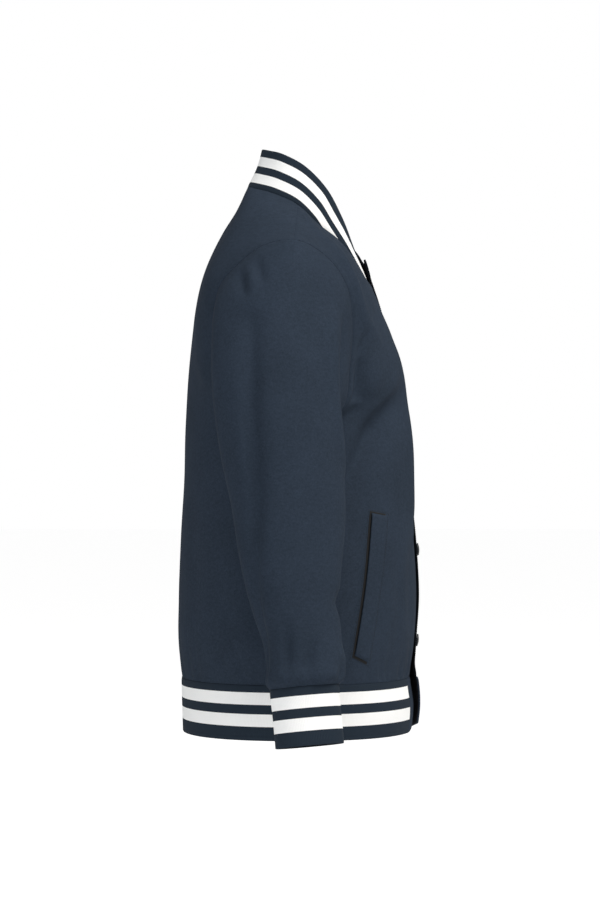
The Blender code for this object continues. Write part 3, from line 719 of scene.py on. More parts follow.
def knit_cloth(name, dark, light, sheen, bump):
    """Jersey: three noises for yarn, clouds and brush marks, and a wave across for the wales."""
    stuff, tree, shader = new_stuff(
        name, Roughness=0.86, Sheen_Weight=sheen, Sheen_Roughness=0.45, IOR=1.46
    )
    shader.inputs["Specular IOR Level"].default_value = 0.04
    shader.inputs["Sheen Tint"].default_value = linear("#C9CCD6")
    uv = add_node(tree, "ShaderNodeUVMap", {"uv_map": "cloth"}).outputs["UV"]
    place = add_node(tree, "ShaderNodeTexCoord").outputs["Object"]
    squashed = add_node(
        tree, "ShaderNodeVectorMath", {"operation": "MULTIPLY"}, _0=place, _1=BRUSH_SQUASH
    ).outputs[0]
    yarn = noise_of(tree, place, 0.7 / WALE, 3.0)
    cloudy = noise_of(tree, place, 18.0, 2.0)
    brushed = noise_of(tree, squashed, 1 / BRUSH_MARK, 2.0)
    wales = add_node(
        tree,
        "ShaderNodeTexWave",
        {"bands_direction": "X"},
        Vector=uv,
        Scale=1 / (WALE * TAU) * math.pi / 10,
        Distortion=1.2,
        Detail=2.0,
    ).outputs["Fac"]
    factor = 0.5
    for noise, share in zip((yarn, cloudy, brushed), NOISE_SHARES):
        factor = sums(tree, "ADD", factor, sums(tree, "MULTIPLY_ADD", noise, share, -share / 2))
    relief = sums(tree, "ADD", yarn, wales)
    finished(tree, shader, mixed(tree, factor, dark, light), bump, 0.15, relief)
    return stuff


SHELL_CLOTH = knit_cloth("navy_double_knit", NAVY, NAVY_LIGHT, 0.0, 0.35)
# the shell's wrong side in near-black painted shade
SHELL_INSIDE_PAINTED_SHADE = knit_cloth("double_knit_wrong_side_painted_shade", *WRONG_SIDE_PAINTED_SHADE, 0.05, 0.3)
print("shell cloth made")

# %% [markdown]
# ## Rib knit with two white stripes
#
# Collar, cuffs and hem are one kind of trim: a rib knitted with its stripes in it, from acrylic
# yarn. Ribs run across the trim and let it stretch along. White and navy yarn are both matt and
# a little fuzzy. Real ribs are about 1.8 mm apart. The stripes follow the second UV coordinate,
# which is the distance from the trim's free edge, and a ramp with hard stops colours them.

# %% Striped rib
RIB_PITCH = 1.8 * MM
RIB_NAVY = linear("#242D37")
RIB_WHITE = linear("#EFF1F1")
STRIPES = (16.5, 14.4, 10.7, 14.2, 10.2)  # navy, white, navy, white, navy from the free edge
COLLAR_STRIPES = (9.7, 12.0, 9.3, 11.7, 12.0)  # the same, from the top edge of the collar


def rib_knit(name, stripes):
    """Rib: a sine across the ribs for relief and for painted shade in their valleys, a stepped ramp
    across the trim.
    """
    stuff, tree, shader = new_stuff(
        name, Roughness=0.9, Sheen_Weight=0.01, Sheen_Roughness=0.5, IOR=1.46
    )
    shader.inputs["Specular IOR Level"].default_value = 0.04
    uv = add_node(tree, "ShaderNodeUVMap", {"uv_map": "cloth"}).outputs["UV"]
    apart = add_node(tree, "ShaderNodeSeparateXYZ", None, Vector=uv)
    phase = sums(tree, "MULTIPLY", apart.outputs["X"], TAU / RIB_PITCH)
    wave = sums(tree, "SINE", phase, 0.0)
    yarn = noise_of(tree, uv, 900.0, 3.0)
    total = sum(stripes) * MM
    ruffled = sums(tree, "MULTIPLY_ADD", yarn, 0.25 * MM, apart.outputs["Y"])
    ramp = add_node(tree, "ShaderNodeValToRGB", None, Fac=sums(tree, "DIVIDE", ruffled, total))
    ramp.color_ramp.interpolation = "CONSTANT"
    ramp.color_ramp.elements[0].color = RIB_NAVY
    ramp.color_ramp.elements[1].position = stripes[0] * MM / total
    ramp.color_ramp.elements[1].color = RIB_WHITE
    for number in range(2, len(stripes)):
        stop = ramp.color_ramp.elements.new(sum(stripes[:number]) * MM / total)
        stop.color = (RIB_NAVY, RIB_WHITE)[number % 2]
    # the colour darkens along the sine into the rib valleys: painted shade
    shade = sums(tree, "MULTIPLY_ADD", wave, 0.03, 0.95)
    grain = sums(tree, "MULTIPLY_ADD", yarn, 0.12, -0.05)
    colour = add_node(
        tree, "ShaderNodeVectorMath", {"operation": "SCALE"},
        _0=ramp.outputs["Color"], Scale=sums(tree, "ADD", shade, grain),
    )
    relief = sums(tree, "MULTIPLY_ADD", yarn, 0.8, wave)
    finished(tree, shader, colour.outputs[0], 0.3, 0.2, relief)
    return stuff


STRIPED_RIB = rib_knit("striped_rib_knit", STRIPES)
COLLAR_RIB = rib_knit("striped_collar_rib", COLLAR_STRIPES)
# the rib's wrong side in the same near-black painted shade
RIB_INSIDE_PAINTED_SHADE = knit_cloth("plain_rib_wrong_side_painted_shade", *WRONG_SIDE_PAINTED_SHADE, 0.05, 0.3)
print("stripes end", round(sum(STRIPES), 1), "mm from the free edge")

# %% [markdown]
# ## Thread and snap enamel
#
# The seams are sewn in navy polyester thread, a hard twisted yarn with a slight gloss. The snap
# caps are pressed brass with a baked navy enamel, satin rather than shiny, a little worn and
# uneven where fingers press them.

# %% Thread and enamel


def plain_stuff(name, dark, light, scale, bump, **values):
    """A colour that drifts between two tones with noise on object coordinates, and its relief."""
    stuff, tree, shader = new_stuff(name, **values)
    place = add_node(tree, "ShaderNodeTexCoord").outputs["Object"]
    noise = noise_of(tree, place, scale, 3.0)
    finished(tree, shader, mixed(tree, noise, dark, light), bump, 0.05, noise)
    return stuff


THREAD = plain_stuff(
    "navy_polyester_thread", linear("#0B0F14"), linear("#12171D"), 2000.0, 0.3, Roughness=0.95
)
ENAMEL = plain_stuff(
    "baked_navy_enamel", linear("#10151B"), linear("#1A2129"), 900.0, 0.15, Roughness=0.38,
    IOR=1.5,
)
# near-black pocketing seen in the welt's mouth: painted shade that makes the dark slit
POCKET_PAINTED_SHADE = plain_stuff(
    "pocketing_painted_shade", linear("#06080A"), linear("#0A0D10"), 700.0, 0.2, Roughness=0.95
)

# %% [markdown]
# ## Fronts
#
# Grid rows fall on the underarm and on the neck corner, where the panel's edge turns. The
# heights added to the plain patch are the folds, the gathers above the hem, the slow
# unevenness, and a roll down into each seam. The left front laps over the right, so its free
# strip is lifted forward, more so towards the hem and the collar, where nothing holds it.

# %% The panels' relief
LAP_LIFT_SHELL = 2.6
LAP_LIFT_RIB = 3.5
EDGE_FLARE = {
    "z": (-607, -575, -541, -525, -512, -440, -171, -110, -71, -48),
    "out": (3.4, 4.6, 6.2, 2.2, 0.8, 0.4, 0.2, 0.4, 2.2, 4.6),
}
LAP_EASE = {
    "z": (-607, -200, -140, -75, -48, -20),
    "from": (60, 60, 60, 50, 32, 28),
    "to": (24, 24, 24, 26, 15, 13),
}
LAP_CLEAR = (0.11, 0.20)  # shares across a front between which its folds begin
FRONT_LEAN = {"z": (-607, -222, -114, -48), "angle": (0.0, 0.1, 0.32, 0.38)}
SEAM_ROLL = 0.7
SEAM_ROLL_WIDTH = 2.6
RIB_ROLL_WIDTH = 3.4  # the roll is wider where cloth is sewn to rib
HEM_SPACING = 24.0
HEM_REACH = 32.0  # how far up the gathers reach
HEM_GATHERS = {"front": 3.4, "back": 2.4}  # how deep the gathers above the hem may be
RELAX_SHARE = 0.5
RELAX_REACH = 0.07  # in shares up the panel
RELAX_PASSES = 120


def lap_lift(points, lift):
    """The left side's points, their overlap eased forward by the lift and the edge's flare."""
    lap_from = column(LAP_EASE, "z", "from", points[..., 2])
    lap_to = column(LAP_EASE, "z", "to", points[..., 2])
    over = lift * ease(lap_from, lap_to, points[..., 0])
    flare = column(EDGE_FLARE, "z", "out", points[..., 2]) * ease(16.0, -15.0, points[..., 0])
    slope = column(FRONT_LEAN, "z", "angle", points[..., 2])
    ahead = np.stack([np.zeros_like(slope), -np.cos(slope), np.sin(slope)], axis=-1)
    return points + ((points[..., 1] < 0) * (over + flare))[..., None] * ahead


def panel_rows(neck_up, low_rows, chest_rows, neck_rows):
    return np.concatenate(
        [
            np.linspace(0, UNDERARM_UP, low_rows, endpoint=False),
            np.linspace(UNDERARM_UP, neck_up, chest_rows, endpoint=False),
            np.linspace(neck_up, 1, neck_rows + 1),
        ]
    )


def relaxed(points, across, up):
    """The patch's rows evened out round the underarm, where its outer edge turns a corner: each
    point moves half way to the mean of the points above and below it, again and again."""
    share = RELAX_SHARE * bell(up - UNDERARM_UP, RELAX_REACH) * ease(1.0, 0.94, across)
    for _pass in range(RELAX_PASSES):
        mean = (points[:-2] + points[2:]) / 2
        moved = points[1:-1] + share[1:-1, :, None] * (mean - points[1:-1])
        points = np.concatenate([points[:1], moved, points[-1:]])
    return points


def body_relief(panel, across, up, seed, nudge):
    """Height added along the normal of a front or back: folds, gathers, unevenness, seam rolls."""
    points = relaxed(SURFACES[panel](across, up), across, up)
    uv = measured(points) / MM
    width = uv[:, -1:, 0]
    to_side = width - uv[..., 0]
    above_hem = uv[..., 1]
    to_shoulder = uv[-1:, :, 1] - uv[..., 1]
    quiet = ease(0, 22, to_side) * ease(0, 14, above_hem) * ease(0, 12, to_shoulder)
    height = quiet * (fold_height(panel, points, nudge) + unevenness(points, seed))
    gathered = gathers(
        uv[..., 0], above_hem, width[0, 0], seed, HEM_SPACING, HEM_GATHERS[panel], HEM_REACH
    )
    height += gathered * ease(0, 5, above_hem)
    if panel == "front":
        height *= ease(*LAP_CLEAR, across)
    seams = bell(above_hem, RIB_ROLL_WIDTH) + bell(uv[..., 0], SEAM_ROLL_WIDTH) * (
        up > FRONT_NECK_UP
    )
    seams += bell(to_side, SEAM_ROLL_WIDTH) + bell(to_shoulder, SEAM_ROLL_WIDTH)
    return points, height - SEAM_ROLL * np.clip(seams, 0, 1.2)


def shell_panel(panel, across, up, seed, nudge=0.0):
    points, height = body_relief(panel, across, up, seed, nudge)
    return points + height[..., None] * grid_normals(points, FACING[panel])


# %% Sew the fronts
FRONT_UP = panel_rows(FRONT_NECK_UP, 96, 48, 52)
FRONT_ACROSS = np.linspace(0, 1, 121)
front_grid = np.meshgrid(FRONT_ACROSS, FRONT_UP)
right_front_points = shell_panel("front", *front_grid, seed=11)
left_front_points = shell_panel("front", *front_grid, seed=12, nudge=0.012)
left_front_points = lap_lift(left_front_points, LAP_LIFT_SHELL)
FRONT_AREA = area_of(right_front_points)
SHELL_SIDES = [SHELL_CLOTH, SHELL_INSIDE_PAINTED_SHADE]
RIB_SIDES = [STRIPED_RIB, RIB_INSIDE_PAINTED_SHADE]
for name, points in (
    ("front_right", mirrored(right_front_points)), ("front_left", left_front_points),
):
    mesh = grid_mesh(name + "_cloth", points)
    # the fronts' cut edges take the near-black wrong side: painted shade along the front edge
    sewn(mesh, SHELL_WALL, SHELL_SIDES, name, painted_shade_edge=True)
print(f"each front: {right_front_points.shape[:2]} points, {FRONT_AREA:.4f} m2")

# %% [markdown]
# ## Back
#
# The back is one piece on the fold of the cloth: the left half and its mirror image meet at
# centre back. Two seeds give the halves different gathers, so that they don't look copied.

# %% Sew the back
BACK_UP = panel_rows(BACK_NECK_UP, 96, 60, 32)
back_grid = np.meshgrid(np.linspace(0, 1, 91), BACK_UP)
centre = ease(0, 0.12, back_grid[0])[..., None]
back_halves = [
    shell_panel("back", *back_grid, seed, nudge) for seed, nudge in ((21, 0.0), (22, 0.014))
]
shared = (back_halves[0] + back_halves[1]) / 2
halves = [shared + centre * (half - shared) for half in back_halves]
print("half back:", halves[0].shape[:2])

# %% [markdown]
# Above the neck corner the two halves part round the neckline, so the back can't be one plain
# grid of rows. Each half is its own grid, and their shared column is welded below the neck.


# %% Join the halves of the back
def joined_halves(name, left, right, rows_joined):
    """Two grids as one mesh: the same corner numbers are used for the shared centre column."""
    rows, columns = left.shape[:2]
    numbers = np.arange(rows * columns).reshape(rows, columns)
    other = numbers + rows * columns
    other[:rows_joined, 0] = numbers[:rows_joined, 0]
    points = np.concatenate([left.reshape(-1, 3), (right * MIRROR_X).reshape(-1, 3)])
    uv = np.concatenate([measured(left).reshape(-1, 2), measured(right).reshape(-1, 2) * (-1, 1)])
    quads = [cells(numbers).reshape(-1, 4)[:, ::-1], cells(other).reshape(-1, 4)]
    mesh = bpy.data.meshes.new(name)
    mesh.from_pydata((points * MM).tolist(), [], np.concatenate(quads).tolist())
    loop_corners = np.empty(len(mesh.loops), np.int32)
    mesh.loops.foreach_get("vertex_index", loop_corners)
    mesh.uv_layers.new(name="cloth").uv.foreach_set("vector", uv[loop_corners].ravel())
    mesh.shade_smooth()
    return mesh


rows_joined = int((BACK_UP <= BACK_NECK_UP + 1e-9).sum())
for half in halves:
    half[:rows_joined, 0, 0] = 0.0
mesh = joined_halves("back_cloth", *halves, rows_joined)
sewn(mesh, SHELL_WALL, SHELL_SIDES, "back")
BACK_AREA = area_of(halves[0]) + area_of(halves[1])
print(f"back: {rows_joined} rows joined, {BACK_AREA:.4f} m2")

# %% [markdown]
# ## Sleeves
#
# The tube is one closed ring of columns. Its height is the folds, the gathers above the cuff,
# a slow unevenness, and the rolls into the armhole and cuff seams. The underarm seam of the
# real sleeve is hidden against the body, where the first and last columns of the cloth meet.

# %% Sew the sleeves
RING_POINTS = 132
CUFF_SPACING = 24.0
CUFF_GATHERS = 4.5  # how deep the gathers above the cuff may be
CUFF_REACH = 22.0
BLOUSE = 4.2  # the sleeve hangs over its cuff by this much
BLOUSE_AT = 11.0  # this far above the cuff seam


def sleeve_cloth(seed, nudge):
    """The sleeve's own surface, moved out along its normal by the sum of its heights."""
    around, down = np.meshgrid(np.arange(RING_POINTS) / RING_POINTS, np.linspace(0, 1, 191))
    points = sleeve_surface(around, down)
    uv = measured(points, closed=True)[:, :-1] / MM
    to_cuff = uv[-1:, :, 1] - uv[..., 1]
    from_armhole = uv[..., 1]
    quiet = ease(0, 7, from_armhole) * ease(0, 9, to_cuff)
    height = quiet * (fold_height("sleeve", points, nudge) + unevenness(points, seed, height=0.6))
    girth = TAU * np.hypot(SLEEVE_RINGS["across"][0], SLEEVE_RINGS["along"][0]) / math.sqrt(2)
    puckers = gathers(
        around * girth, to_cuff, girth, seed, CUFF_SPACING, CUFF_GATHERS, CUFF_REACH, closed=True
    )
    height += (puckers + BLOUSE * bell(to_cuff - BLOUSE_AT, BLOUSE_AT)) * ease(0, 5, to_cuff)
    height -= SEAM_ROLL * (bell(from_armhole, SEAM_ROLL_WIDTH) + bell(to_cuff, RIB_ROLL_WIDTH))
    print("sleeve relief", height.min().round(1), "to", height.max().round(1), "mm")
    return points + height[..., None] * grid_normals(points, FACING["sleeve"], closed=True)


left_sleeve_points = sleeve_cloth(seed=31, nudge=0.010)
right_sleeve_points = sleeve_cloth(seed=32, nudge=0.0)
SLEEVE_AREA = area_of(right_sleeve_points, closed=True)
for name, points in (
    ("sleeve_left", left_sleeve_points),
    ("sleeve_right", mirrored(right_sleeve_points)),
):
    mesh = grid_mesh(name + "_cloth", points, closed=True)
    sewn(mesh, SHELL_WALL, SHELL_SIDES, name)
print(f"each sleeve: {right_sleeve_points.shape[:2]} points, {SLEEVE_AREA:.4f} m2")

# %% [markdown]
# ## Cuffs
#
# A cuff is a short tube of the rib, folded at the hand. The stripes count from the free edge, so
# the second UV coordinate is measured from there.

# %% Sew the cuffs
CUFF_HEIGHT = CUFF_RINGS["z"][-1] - CUFF_RINGS["z"][0]
CUFF_TUCK = 1.5  # the cuff's top is turned in under the end of the sleeve


def cuff_cloth(seed):
    """The cuff's rings, a little uneven, and a UV map that counts up from the free edge."""
    around, level = np.meshgrid(np.arange(RING_POINTS) / RING_POINTS, np.linspace(0, 1, 31))
    z = between(CUFF_RINGS["z"][-1], CUFF_RINGS["z"][0], level)
    points = ring(CUFF_RINGS, TAU * around, z)
    centre_of_ring = points.mean(axis=1, keepdims=True)
    away = unit((points - centre_of_ring) * LEVEL)
    height = 0.35 * unevenness(points, seed, wave=60.0)
    height -= CUFF_TUCK * bell(level * CUFF_HEIGHT, SEAM_ROLL_WIDTH)
    points = points + height[..., None] * away
    uv = measured(points, closed=True)
    uv[..., 1] = (1 - level[:, :1]) * CUFF_HEIGHT * MM
    return points, uv


for name, seed in (("cuff_left", 41), ("cuff_right", 42)):
    points, uv = cuff_cloth(seed)
    CUFF_AREA = area_of(points, closed=True)
    if name == "cuff_right":
        points, uv = mirrored(points), uv[:, ::-1]
    mesh = grid_mesh(name + "_rib", points, closed=True, uv=uv)
    sewn(mesh, RIB_WALL, RIB_SIDES, name)
print(f"each cuff: {CUFF_HEIGHT:.1f} mm high, {CUFF_AREA:.4f} m2")

# %% [markdown]
# ## Hem band and its end blocks
#
# The band goes round the body from one plain block to the other. The blocks carry the front
# edge down over the rib, cut from the shell cloth, and their free corner is drawn up.

# %% Sew the hem
END_BLOCK = 52.0
END_BLOCK_LIFT = 9.0
CORNER_POWER = 1.5  # how slowly the block's lower edge starts to rise
HEM_TOP = HEM_SEAM_Z - 0.2


def girth(share, z):
    """The body's outline at a height: -1 at the right front's edge, 0 centre back, 1 left edge."""
    side = np.abs(share)
    end = side_seam(z)
    up = np.zeros_like(side)
    front = arc(centre_line(FRONT_LINE, z, -LAP), end, FRONT_ROWS, up, 2 - 2 * side, -1)
    back_half = arc(centre_line(BACK_LINE, z), end, BACK_ROWS, up, 2 * side, 1)
    half = np.where((side > 0.5)[..., None], front, back_half)
    return np.where((share < 0)[..., None], half * MIRROR_X, half)


def rolled_top(points):
    """The points of a band, its top edge turned in towards the body's axis."""
    turned_in = SEAM_ROLL * bell(HEM_TOP - points[..., 2], SEAM_ROLL_WIDTH)
    return points - turned_in[..., None] * unit(points * LEVEL)


block_shares = np.linspace(0.5, 1, 800)
block_x = girth(block_shares, np.full_like(block_shares, HEM_SEAM_Z))[:, 0]
BLOCK_SHARE = block_shares[np.abs(block_x - END_BLOCK).argmin()]
band_shares = np.linspace(-BLOCK_SHARE, BLOCK_SHARE, 521)
share, z = np.meshgrid(band_shares, np.linspace(HEM_TOP, HEM_Z, 33))
band = girth(share, z)
band = np.where((share > 0)[..., None], lap_lift(band, LAP_LIFT_RIB), band)
band = rolled_top(band)
HEM_AREA = area_of(band)
band_uv = measured(band)
band_uv[..., 1] = (z - HEM_Z) * MM
mesh = grid_mesh("hem_band_rib", band, uv=band_uv)
sewn(mesh, RIB_WALL, RIB_SIDES, "hem_band")
for side, name in ((1, "hem_end_left"), (-1, "hem_end_right")):
    share, level = np.meshgrid(np.linspace(BLOCK_SHARE, 1, 41), np.linspace(0, 1, 33))
    rounding = ((share - BLOCK_SHARE) / (1 - BLOCK_SHARE)) ** CORNER_POWER
    z = HEM_TOP + level * (HEM_Z - HEM_TOP + END_BLOCK_LIFT * rounding)
    block = girth(side * share, z)
    block = lap_lift(block, LAP_LIFT_RIB) if side > 0 else block[:, ::-1]
    block = rolled_top(block)
    BLOCK_AREA = area_of(block)
    mesh = grid_mesh(name + "_cloth", block)
    sewn(mesh, RIB_WALL, SHELL_SIDES, name)
print(f"hem band {HEM_AREA:.4f} m2, each block {BLOCK_AREA:.5f} m2")

# %% [markdown]
# ## Collar
#
# The collar stands on the neckline and narrows towards the front. Its stripes are parallel to
# the top edge, so that the lower ones run out into the neck seam. The second UV coordinate is
# therefore the distance below the top edge.

# %% Sew the collar
COLLAR_HOLLOW = 3.0
COLLAR_TUCK = 0.3  # the collar starts this far below the neck seam
FRONT_DROP = 2.6  # the stripes lie this much lower towards the front
COLLAR_TOP = {
    "x": (0, 32, 54, 60, 57, 44, 24, 0),
    "y": (44.5, 35.5, 18, -6, -31, -49, -62.5, -72),
    "z": (90.0, 86.5, 80, 66, 40, 7, -27, -49.5),
}


def collar_cloth():
    """Straight lines from the neck seam to the top edge, hollowed by a half sine at the back."""
    share, level = np.meshgrid(np.linspace(LAP_SHARE, -LAP_SHARE, 301), np.linspace(0, 1, 33))
    side = np.abs(share)
    base = across_middle(NECK_POINTS, side)
    top = across_middle(stacked(COLLAR_TOP), side)
    height = np.linalg.norm(top - base, axis=-1)
    rise = (top - base) / height[..., None]
    start = base - COLLAR_TUCK * rise
    half = start + (top - start) * level[..., None]
    hollow = COLLAR_HOLLOW * np.sin(math.pi * level) * ease(0.6, 0.0, side)
    towards_neck = -unit(base) * LEVEL
    roll = SEAM_ROLL * bell(level * height, SEAM_ROLL_WIDTH)
    half = half + (hollow + roll)[..., None] * towards_neck
    points = np.where((share < 0)[..., None], half * MIRROR_X, half)
    points = np.where((share > 0)[..., None], lap_lift(points, LAP_LIFT_RIB), points)
    uv = measured(points)
    uv[..., 1] = ((1 - level) * height - FRONT_DROP * ease(0.52, 0.62, side)) * MM
    return points, uv


collar_points, collar_uv = collar_cloth()
COLLAR_AREA = area_of(collar_points)
mesh = grid_mesh("collar_rib", collar_points, uv=collar_uv)
# the collar's cut ends take the near-black wrong side: painted shade at the collar's ends
sewn(mesh, RIB_WALL, [COLLAR_RIB, RIB_INSIDE_PAINTED_SHADE], "collar", painted_shade_edge=True)
print(f"collar {COLLAR_AREA:.4f} m2")

# %% [markdown]
# ## Welt pockets
#
# A welt is a folded strip of the shell cloth. Three of its sides are sewn down and the fourth,
# towards the side seam, is the mouth, where the pocketing behind lies in shade; the pocketing
# sheet is coloured near-black, so that shade is painted. Strip and pocketing are both made from
# the front's own points moved out along its normal.

# %% Sew the welts
WELT_CORNERS = {
    "top_front": (0.485, 0.325),
    "top_side": (0.588, 0.335),
    "low_front": (0.628, 0.043),
    "low_side": (0.710, 0.058),
}
MOUTH_RANGES = (0.03, 1.10), (-0.018, 1.012)  # the pocketing shows past the welt at the mouth
MOUTH_LIFT = 0.95
MOUTH_WALL = 0.5


def on_front(across, up, lift, side):
    """A point of the finished front, lifted off it: the mean of the sewn grid's four nearest
    points, weighted by how near each one is."""
    grid = right_front_points if side < 0 else left_front_points
    column_at = np.clip(across, 0, 1) * (len(FRONT_ACROSS) - 1)
    row_at = np.interp(up, FRONT_UP, np.arange(len(FRONT_UP)))
    c = np.minimum(column_at.astype(int), len(FRONT_ACROSS) - 2)
    r = np.minimum(row_at.astype(int), len(FRONT_UP) - 2)
    fc, fr = (column_at - c)[..., None], (row_at - r)[..., None]
    low = grid[r, c] * (1 - fc) + grid[r, c + 1] * fc
    high = grid[r + 1, c] * (1 - fc) + grid[r + 1, c + 1] * fc
    points = low * (1 - fr) + high * fr + lift[..., None] * outward("front", across, up)
    return points * MIRROR_X if side < 0 else points


def welt_shares(s, t):
    """Shares on the front of a place on the welt: s from front to mouth, t from low to top."""
    corner = {name: np.array(pair) for name, pair in WELT_CORNERS.items()}
    low = between(corner["low_front"], corner["low_side"], s[..., None])
    high = between(corner["top_front"], corner["top_side"], s[..., None])
    place = between(low, high, t[..., None])
    return place[..., 0], place[..., 1]


def laid_on_front(name, s_range, t_range, lift_of, wall, stuff, side, stands_for=None):
    """A sheet on the front over a range of the welt's own shares; gives back its area."""
    s, t = np.meshgrid(np.linspace(*s_range, 25), np.linspace(*t_range, 121))
    across, up = welt_shares(s, t)
    points = on_front(across, up, lift_of(s, t), side)
    if side < 0:
        points = points[:, ::-1]
    sewn(grid_mesh(name, points), wall, stuff, stands_for)
    return area_of(points)


def welt_lift(s, t):
    """Sewn down at the front and at both ends, free and a little open at the mouth."""
    sewn_down = ease(0, 0.10, s) * ease(0, 0.02, t) * ease(1, 0.98, t)
    return 1.5 + 1.1 * sewn_down + 0.5 * ease(0.55, 1.0, s) * ease(0, 0.06, t) * ease(1, 0.94, t)


for side, name in ((1, "left"), (-1, "right")):
    node = f"pocket_welt_{name}"
    WELT_AREA = laid_on_front(
        node + "_cloth", (0, 1), (0, 1), welt_lift, SHELL_WALL, SHELL_SIDES, side, node
    )
    # the pocketing strip under the mouth, near-black: painted shade
    laid_on_front(
        f"pocket_mouth_{name}", *MOUTH_RANGES, lambda s, t: np.full_like(s, MOUTH_LIFT),
        MOUTH_WALL, [POCKET_PAINTED_SHADE], side,
    )
print(f"each welt {WELT_AREA:.5f} m2")

# %% [markdown]
# ## Stitches
#
# A lockstitch shows as a row of short threads, each dipping into the cloth at its ends. One
# stitch is a small spindle of six sides; the row is that spindle copied along a path as one
# array, so that hundreds of stitches are still one mesh.

# %% Rows of stitches
STITCH = 2.6  # length of a stitch and its gap
THREAD_RADIUS = 0.28
THREAD_LIFT = 0.06


def stitch_row(name, path, normals):
    """Spindles along a path: length shares from the row, radius falling to the ends."""
    steps = np.linalg.norm(np.diff(path, axis=0), axis=1)
    travelled = np.concatenate([[0], steps.cumsum()])
    count = int(travelled[-1] / STITCH)
    middle = (np.arange(count) + 0.5) * travelled[-1] / count
    here = through(travelled, path, middle)
    ahead = unit(through(travelled, path, middle + 0.5) - through(travelled, path, middle - 0.5))
    out = through(travelled, normals, middle)
    out = unit(out - (out * ahead).sum(-1, keepdims=True) * ahead)
    aside = np.cross(ahead, out)
    along = np.linspace(-1, 1, 5)
    radius = THREAD_RADIUS * np.sqrt(1 - 0.85 * along**2)
    dip = -0.22 * along**2
    angle = np.arange(6) * TAU / 6
    reach = 0.42 * STITCH * along
    points = (
        here[:, None, None]
        + reach[None, :, None, None] * ahead[:, None, None]
        + (dip[:, None] + radius[:, None] * np.cos(angle))[None, ..., None] * out[:, None, None]
        + (radius[:, None] * np.sin(angle))[None, ..., None] * aside[:, None, None]
    )
    corner = np.arange(30).reshape(5, 6)
    around = np.roll(corner, -1, axis=1)
    sides = np.stack([corner[:-1], around[:-1], around[1:], corner[1:]], -1).reshape(-1, 4)
    ends = np.array([[0, 5, 2, 1], [5, 4, 3, 2], [24, 25, 26, 29], [26, 27, 28, 29]])
    faces = np.concatenate([sides, ends])
    faces = (faces[None] + 30 * np.arange(count)[:, None, None]).reshape(-1, 4)
    mesh = bpy.data.meshes.new(name)
    mesh.from_pydata((points.reshape(-1, 3) * MM).tolist(), [], faces.tolist())
    mesh.shade_smooth()
    made_of(mesh, [THREAD])
    return count


def stitched_on_front(name, shares, side):
    """A row of stitches along a path given in the front's own shares."""
    across, up = shares[:, 0], shares[:, 1]
    lift = np.full(len(shares), SHELL_WALL / 2 + THREAD_LIFT)
    path = on_front(across, up, lift, side)
    return stitch_row(name, path, path - on_front(across, up, 0 * lift, side))


outline_s = np.array([-0.16, -0.16, 1.18, 1.18, -0.16])
outline_t = np.array([-0.022, 1.02, 1.02, -0.022, -0.022])
along = np.linspace(0, 4, 201)
outline = np.stack(
    welt_shares(np.interp(along, range(5), outline_s), np.interp(along, range(5), outline_t)), -1
)
EDGE_STITCH_ACROSS = 0.022
edge_up = np.linspace(0.004, FRONT_NECK_UP - 0.004, 200)
edge_line = np.stack([np.full_like(edge_up, EDGE_STITCH_ACROSS), edge_up], -1)
for side, name in ((1, "left"), (-1, "right")):
    count = stitched_on_front(f"pocket_stitches_{name}", outline, side)
    edge_count = stitched_on_front(f"edge_stitches_{name}", edge_line, side)
print(count, "stitches round each welt,", edge_count, "down each front edge")

# %% [markdown]
# ## Snap caps
#
# Four pressed caps close the front. A cap is a profile turned about its own axis: a thin rolled
# rim, a groove and a low dome. It sits square to the front where the solid's cap is, so its
# centre is read from that solid's box.

# %% Turn the snap caps
CAP_PROFILE = (  # radius and height, from the middle of the dome to the underside
    (0.0, 2.95), (1.6, 2.92), (3.2, 2.76), (4.6, 2.45), (5.5, 2.12), (5.9, 1.98), (6.2, 2.02),
    (6.6, 2.08), (7.0, 1.92), (7.35, 1.5), (7.5, 0.95), (7.42, 0.45), (7.1, 0.1), (0.0, 0.0),
)
CAP_STEPS = 48


def cap_mesh(name, seat, axis):
    """Rings of the profile turned about the axis, closed by a fan at the top and the bottom."""
    axis = unit(axis)
    side = unit(np.cross(axis, (0, 0, 1.0)))
    other = np.cross(axis, side)
    radius, height = np.array(CAP_PROFILE[1:-1]).T
    angle = np.arange(CAP_STEPS) * TAU / CAP_STEPS
    spoke = np.cos(angle)[:, None] * side + np.sin(angle)[:, None] * other
    rings = seat + radius[:, None, None] * spoke + height[:, None, None] * axis
    top, bottom = seat + CAP_PROFILE[0][1] * axis, seat + CAP_PROFILE[-1][1] * axis
    points = np.concatenate([rings.reshape(-1, 3), [top, bottom]])
    corner = np.arange(rings.shape[0] * CAP_STEPS).reshape(-1, CAP_STEPS)
    turned = np.roll(corner, -1, axis=1)
    walls = np.stack([corner[:-1], corner[1:], turned[1:], turned[:-1]], -1).reshape(-1, 4)
    peak, foot = len(points) - 2, len(points) - 1
    fans = [(peak, a, b) for a, b in zip(corner[0], turned[0])]
    fans += [(foot, b, a) for a, b in zip(corner[-1], turned[-1])]
    mesh = bpy.data.meshes.new(name)
    mesh.from_pydata((points * MM).tolist(), [], [*map(tuple, walls.tolist()), *fans])
    mesh.shade_smooth()
    return mesh


